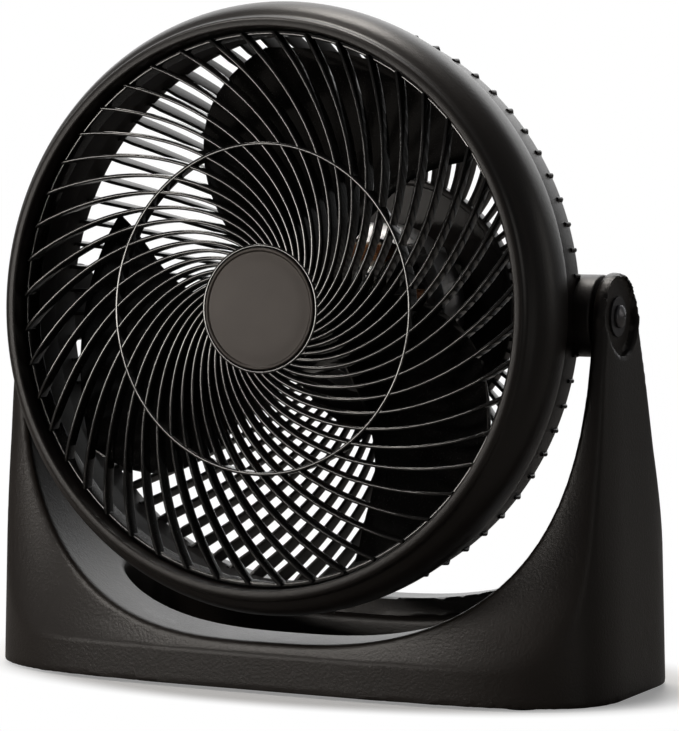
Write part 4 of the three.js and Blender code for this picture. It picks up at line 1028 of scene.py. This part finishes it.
# ---- back of the head
def build_cover():
    """The rear cover: a shallow dish with two raised rings."""
    front = -PLATE_BACK - 0.05
    back = -PLATE_BACK - COVER_DEPTH
    wall = 2.2
    shape = Shape(in_head)
    shape.knob([
        (0, back, 0), (20, back, 0.5), (30, back, 0.5), (COVER_RADIUS - 2.6, back, 2.2),
        (COVER_RADIUS - 0.6, back + 5, 3.0), (COVER_RADIUS, front, 0.5),
        (COVER_RADIUS - wall, front, 0.4), (COVER_RADIUS - 9, back + wall, 4.0),
        (0, back + wall, 0),
    ], segments=144, steps=8)
    for radius in (36, 41):
        shape.ring([
            (radius + 0.6, back - 0.5, 0.4), (radius + 0.6, back + 0.8, 0.1),
            (radius - 0.6, back + 0.8, 0.1), (radius - 0.6, back - 0.5, 0.4),
        ], segments=144)
    shape.piece("motor_cover_moulding", SHELL, "head", "shell", "motor_cover", crease=50)


def build_cover_screws():
    """Plain pan heads on the cover's face, each with a length of its shank."""
    back = -PLATE_BACK - COVER_DEPTH - 0.05
    for number in range(3):
        angle = math.radians(90 + number * 120)
        across = (COVER_RADIUS - 8) * math.cos(angle)
        up = (COVER_RADIUS - 8) * math.sin(angle)
        shape = Shape(in_head)
        shape.knob([
            (0, back - 1.9, 0), (1.8, back - 1.9, 1.2), (3.1, back - 0.9, 0.8), (3.1, back, 0.2),
            (1.6, back, 0.2), (1.6, back + 14, 0.4), (0, back + 15, 0),
        ], 36, across, up)
        shape.piece(f"cover_screw_head_{number + 1}", SCREW_STEEL, "head", "bright_steel",
                    f"cover_screw_{number + 1}")


def build_gland():
    """The lead's bush: a tapering sleeve with two collars, hanging under the cover."""
    ahead = -PLATE_BACK - 5.2 - CLEAR
    top = -COVER_RADIUS + 4.5
    line = smooth_line([
        (3.2, top, 0.2), (4.3, top, 0.4), (4.3, top - 1.3, 0.2), (5.2, top - 1.6, 0.3),
        (5.2, top - 5.4, 0.4), (4.3, top - 5.8, 0.3), (4.2, top - 12, 0.5),
        (3.9, top - 19.4, 0.4), (3.2, top - 19.4, 0.2), (3.2, top, 0),
    ])
    shape = Shape(in_head)
    shape.add(upright(line, 0, ahead))
    shape.piece("lead_bush", RUBBER, "head", "rubber", "cord_gland")


def build_knob():
    """The speed knob: a skirt and a grip that narrows from an oval to a bar at its end.

    The radius is the outline's times 1 - 0.66 h^2 |cos(angle)|^1.6, where h rises from 0 at the
    skirt to 1 on the grip.
    """
    seat = -PLATE_BACK - COVER_DEPTH - CLEAR
    shape = Shape(in_head)
    angle = circle(96)
    line = smooth_line([
        (0, seat, 0), (KNOB_RADIUS, seat, 0.5), (KNOB_RADIUS - 0.3, seat - 3.2, 1.0),
        (KNOB_RADIUS - 2.2, seat - 4.0, 1.2), (KNOB_RADIUS - 2.8, seat - KNOB_LENGTH + 1.2, 1.2),
        (KNOB_RADIUS - 4.0, seat - KNOB_LENGTH, 1.2), (0, seat - KNOB_LENGTH, 0),
    ], 6)
    height = np.clip((seat - 3.6 - line[:, 1]) / 2.0, 0, 1)
    squeeze = 1 - 0.66 * height ** 2 * np.abs(np.cos(angle)) ** 1.6
    grid = about_fan_axis(line[:, 0] * squeeze, line[:, 1], angle)
    shape.add(grid + np.array([0, 0, -KNOB_DROP]))
    shape.piece("speed_knob_grip", GLOSS, "knob", "gloss", "speed_knob", crease=50)


def build_pivot_screws():
    """A plain domed screw in the middle of each arm's round recess, dimpled in its middle."""
    seat = RECESS_FLOOR + 0.9
    for side, name in ((-1, "left"), (1, "right")):
        line = smooth_line([
            (0, seat + 2.1, 0), (1.0, seat + 2.4, 0.3), (4.6, seat + 1.3, 1.2), (4.6, seat, 0.2),
            (2.0, seat, 0.2), (2.0, seat - 18, 0.4), (0, seat - 19, 0),
        ])
        shape = Shape(in_head)
        shape.add(sideways(line, side))
        shape.piece(f"pivot_screw_head_{name}", DARK_STEEL, "head", "bright_steel",
                    f"pivot_screw_{name}")


# ---- studio
WORLD_FRONT, WORLD_BACK = 0.005, 0.12
MIRRORED_GAIN = 17
BRIGHT_SIDE = (-0.35, 0.85, 0.40)
BRIGHT_FROM, BRIGHT_FULL = 0.77, 0.95  # along BRIGHT_SIDE, for a direction of length 1
FLOOR_SIZE = 12
WHITE_FROM, WHITE_FULL = 0.142, 0.178  # metres from the middle, measured 1.7 times in depth
LAMP_TINT = (1.0, 0.95, 0.89)


def add_floor():
    """A pale floor: plain and shadowed near the base, white to the camera further out."""
    recipe = Recipe("studio_floor")
    bpy.ops.mesh.primitive_plane_add(size=FLOOR_SIZE)
    floor = bpy.context.object
    floor.name = "studio_floor"
    cloud = recipe.noise(0.002, detail=1.0)
    tone = recipe.mix(cloud, (0.80, 0.80, 0.80), (0.84, 0.84, 0.84))
    flat = {"operation": "MULTIPLY"}
    scaled = recipe.node("ShaderNodeVectorMath", flat, recipe.place, (1.0, 1.7, 0.0))
    distance = recipe.node(
        "ShaderNodeVectorMath", {"operation": "LENGTH"}, scaled, output="Value")
    camera = recipe.node("ShaderNodeLightPath", {}, output="Is Camera Ray")
    far = distance.fade(WHITE_FROM, WHITE_FULL) * camera
    material = recipe.surface(
        Base_Color=recipe.mix(camera, (0.22, 0.21, 0.20), tone), Roughness=0.6,
        Emission_Color=camera, Emission_Strength=0.25)
    tree = recipe.tree
    plain = next(n for n in tree.nodes if n.type == "BSDF_PRINCIPLED")
    output = next(n for n in tree.nodes if n.type == "OUTPUT_MATERIAL")
    white = tree.nodes.new("ShaderNodeEmission")
    mix = tree.nodes.new("ShaderNodeMixShader")
    tree.links.new(far.socket, mix.inputs[0])
    tree.links.new(plain.outputs[0], mix.inputs[1])
    tree.links.new(white.outputs[0], mix.inputs[2])
    tree.links.new(mix.outputs[0], output.inputs[0])
    floor.data.materials.append(material)


def add_world():
    """White to the camera; in reflections and as light, bright behind and dark in front."""
    world = bpy.data.worlds.new("studio")
    bpy.context.scene.world = world
    world.use_nodes = True
    tree = world.node_tree
    tree.nodes.clear()

    def node(kind, **settings):
        made = tree.nodes.new(kind)
        for key, value in settings.items():
            setattr(made, key, value)
        return made

    path = node("ShaderNodeLightPath")
    seen = node("ShaderNodeMath", operation="MAXIMUM")
    tree.links.new(path.outputs["Is Camera Ray"], seen.inputs[0])
    tree.links.new(path.outputs["Is Transmission Ray"], seen.inputs[1])
    toward = node("ShaderNodeVectorMath", operation="DOT_PRODUCT")
    tree.links.new(node("ShaderNodeTexCoord").outputs["Generated"], toward.inputs[0])
    toward.inputs[1].default_value = BRIGHT_SIDE
    behind = node("ShaderNodeMapRange", interpolation_type="SMOOTHSTEP")
    tree.links.new(toward.outputs["Value"], behind.inputs["Value"])
    limits = {
        "From Min": BRIGHT_FROM, "From Max": BRIGHT_FULL,
        "To Min": WORLD_FRONT, "To Max": WORLD_BACK,
    }
    for key, value in limits.items():
        behind.inputs[key].default_value = value
    shine = node("ShaderNodeMath", operation="MULTIPLY_ADD")
    tree.links.new(path.outputs["Is Glossy Ray"], shine.inputs[0])
    shine.inputs[1].default_value = MIRRORED_GAIN - 1
    shine.inputs[2].default_value = 1.0
    strength = node("ShaderNodeMath", operation="MULTIPLY")
    tree.links.new(behind.outputs[0], strength.inputs[0])
    tree.links.new(shine.outputs[0], strength.inputs[1])
    white, light = node("ShaderNodeBackground"), node("ShaderNodeBackground")
    white.inputs["Color"].default_value = (1, 1, 1, 1)
    light.inputs["Color"].default_value = (1, 1, 1, 1)
    tree.links.new(strength.outputs[0], light.inputs["Strength"])
    mix = node("ShaderNodeMixShader")
    tree.links.new(seen.outputs[0], mix.inputs[0])
    tree.links.new(light.outputs[0], mix.inputs[1])
    tree.links.new(white.outputs[0], mix.inputs[2])
    tree.links.new(mix.outputs[0], node("ShaderNodeOutputWorld").inputs[0])


def add_softbox(name, place, size, power):
    """A rectangular lamp at a place in metres, aimed at the middle of the tilt axis."""
    data = bpy.data.lights.new(name, "AREA")
    data.shape = "RECTANGLE"
    data.size, data.size_y = size
    data.energy = power
    data.color = LAMP_TINT
    lamp = bpy.data.objects.new(name, data)
    bpy.context.scene.collection.objects.link(lamp)
    lamp.location = place
    aim = Vector(place) - Vector(PIVOT)
    lamp.rotation_euler = aim.to_track_quat("Z", "Y").to_euler()


# ---- assembly
add_camera()
build_stand()
build_feet()
build_front_shell()
build_front_grille()
build_badge()
build_rear_grille()
build_impeller()
build_coils()
build_stator()
finish_motor()
build_cover()
build_cover_screws()
build_gland()
build_knob()
build_pivot_screws()

add_floor()
add_world()
LAMPS = {
    "top_softbox": ((-0.2, 0.4, 1.5), (0.5, 0.3), 10.0),
    "left_softbox": ((-1.4, 0.1, 0.6), (0.2, 0.7), 0.8),
    "right_softbox": ((1.3, 0.9, 0.5), (0.25, 0.6), 0.7),
    "low_softbox": ((-0.8, -1.35, 0.2), (0.5, 0.12), 4.2),
    "front_softbox": ((-0.7, -0.8, 1.3), (0.25, 0.14), 7.0),
    "side_softbox": ((1.2, -0.6, 0.05), (0.12, 0.3), 0.3),
}
for lamp_name, (lamp_place, lamp_size, lamp_power) in LAMPS.items():
    add_softbox(lamp_name, lamp_place, lamp_size, lamp_power)
bpy.context.scene.view_settings.view_transform = "Standard"
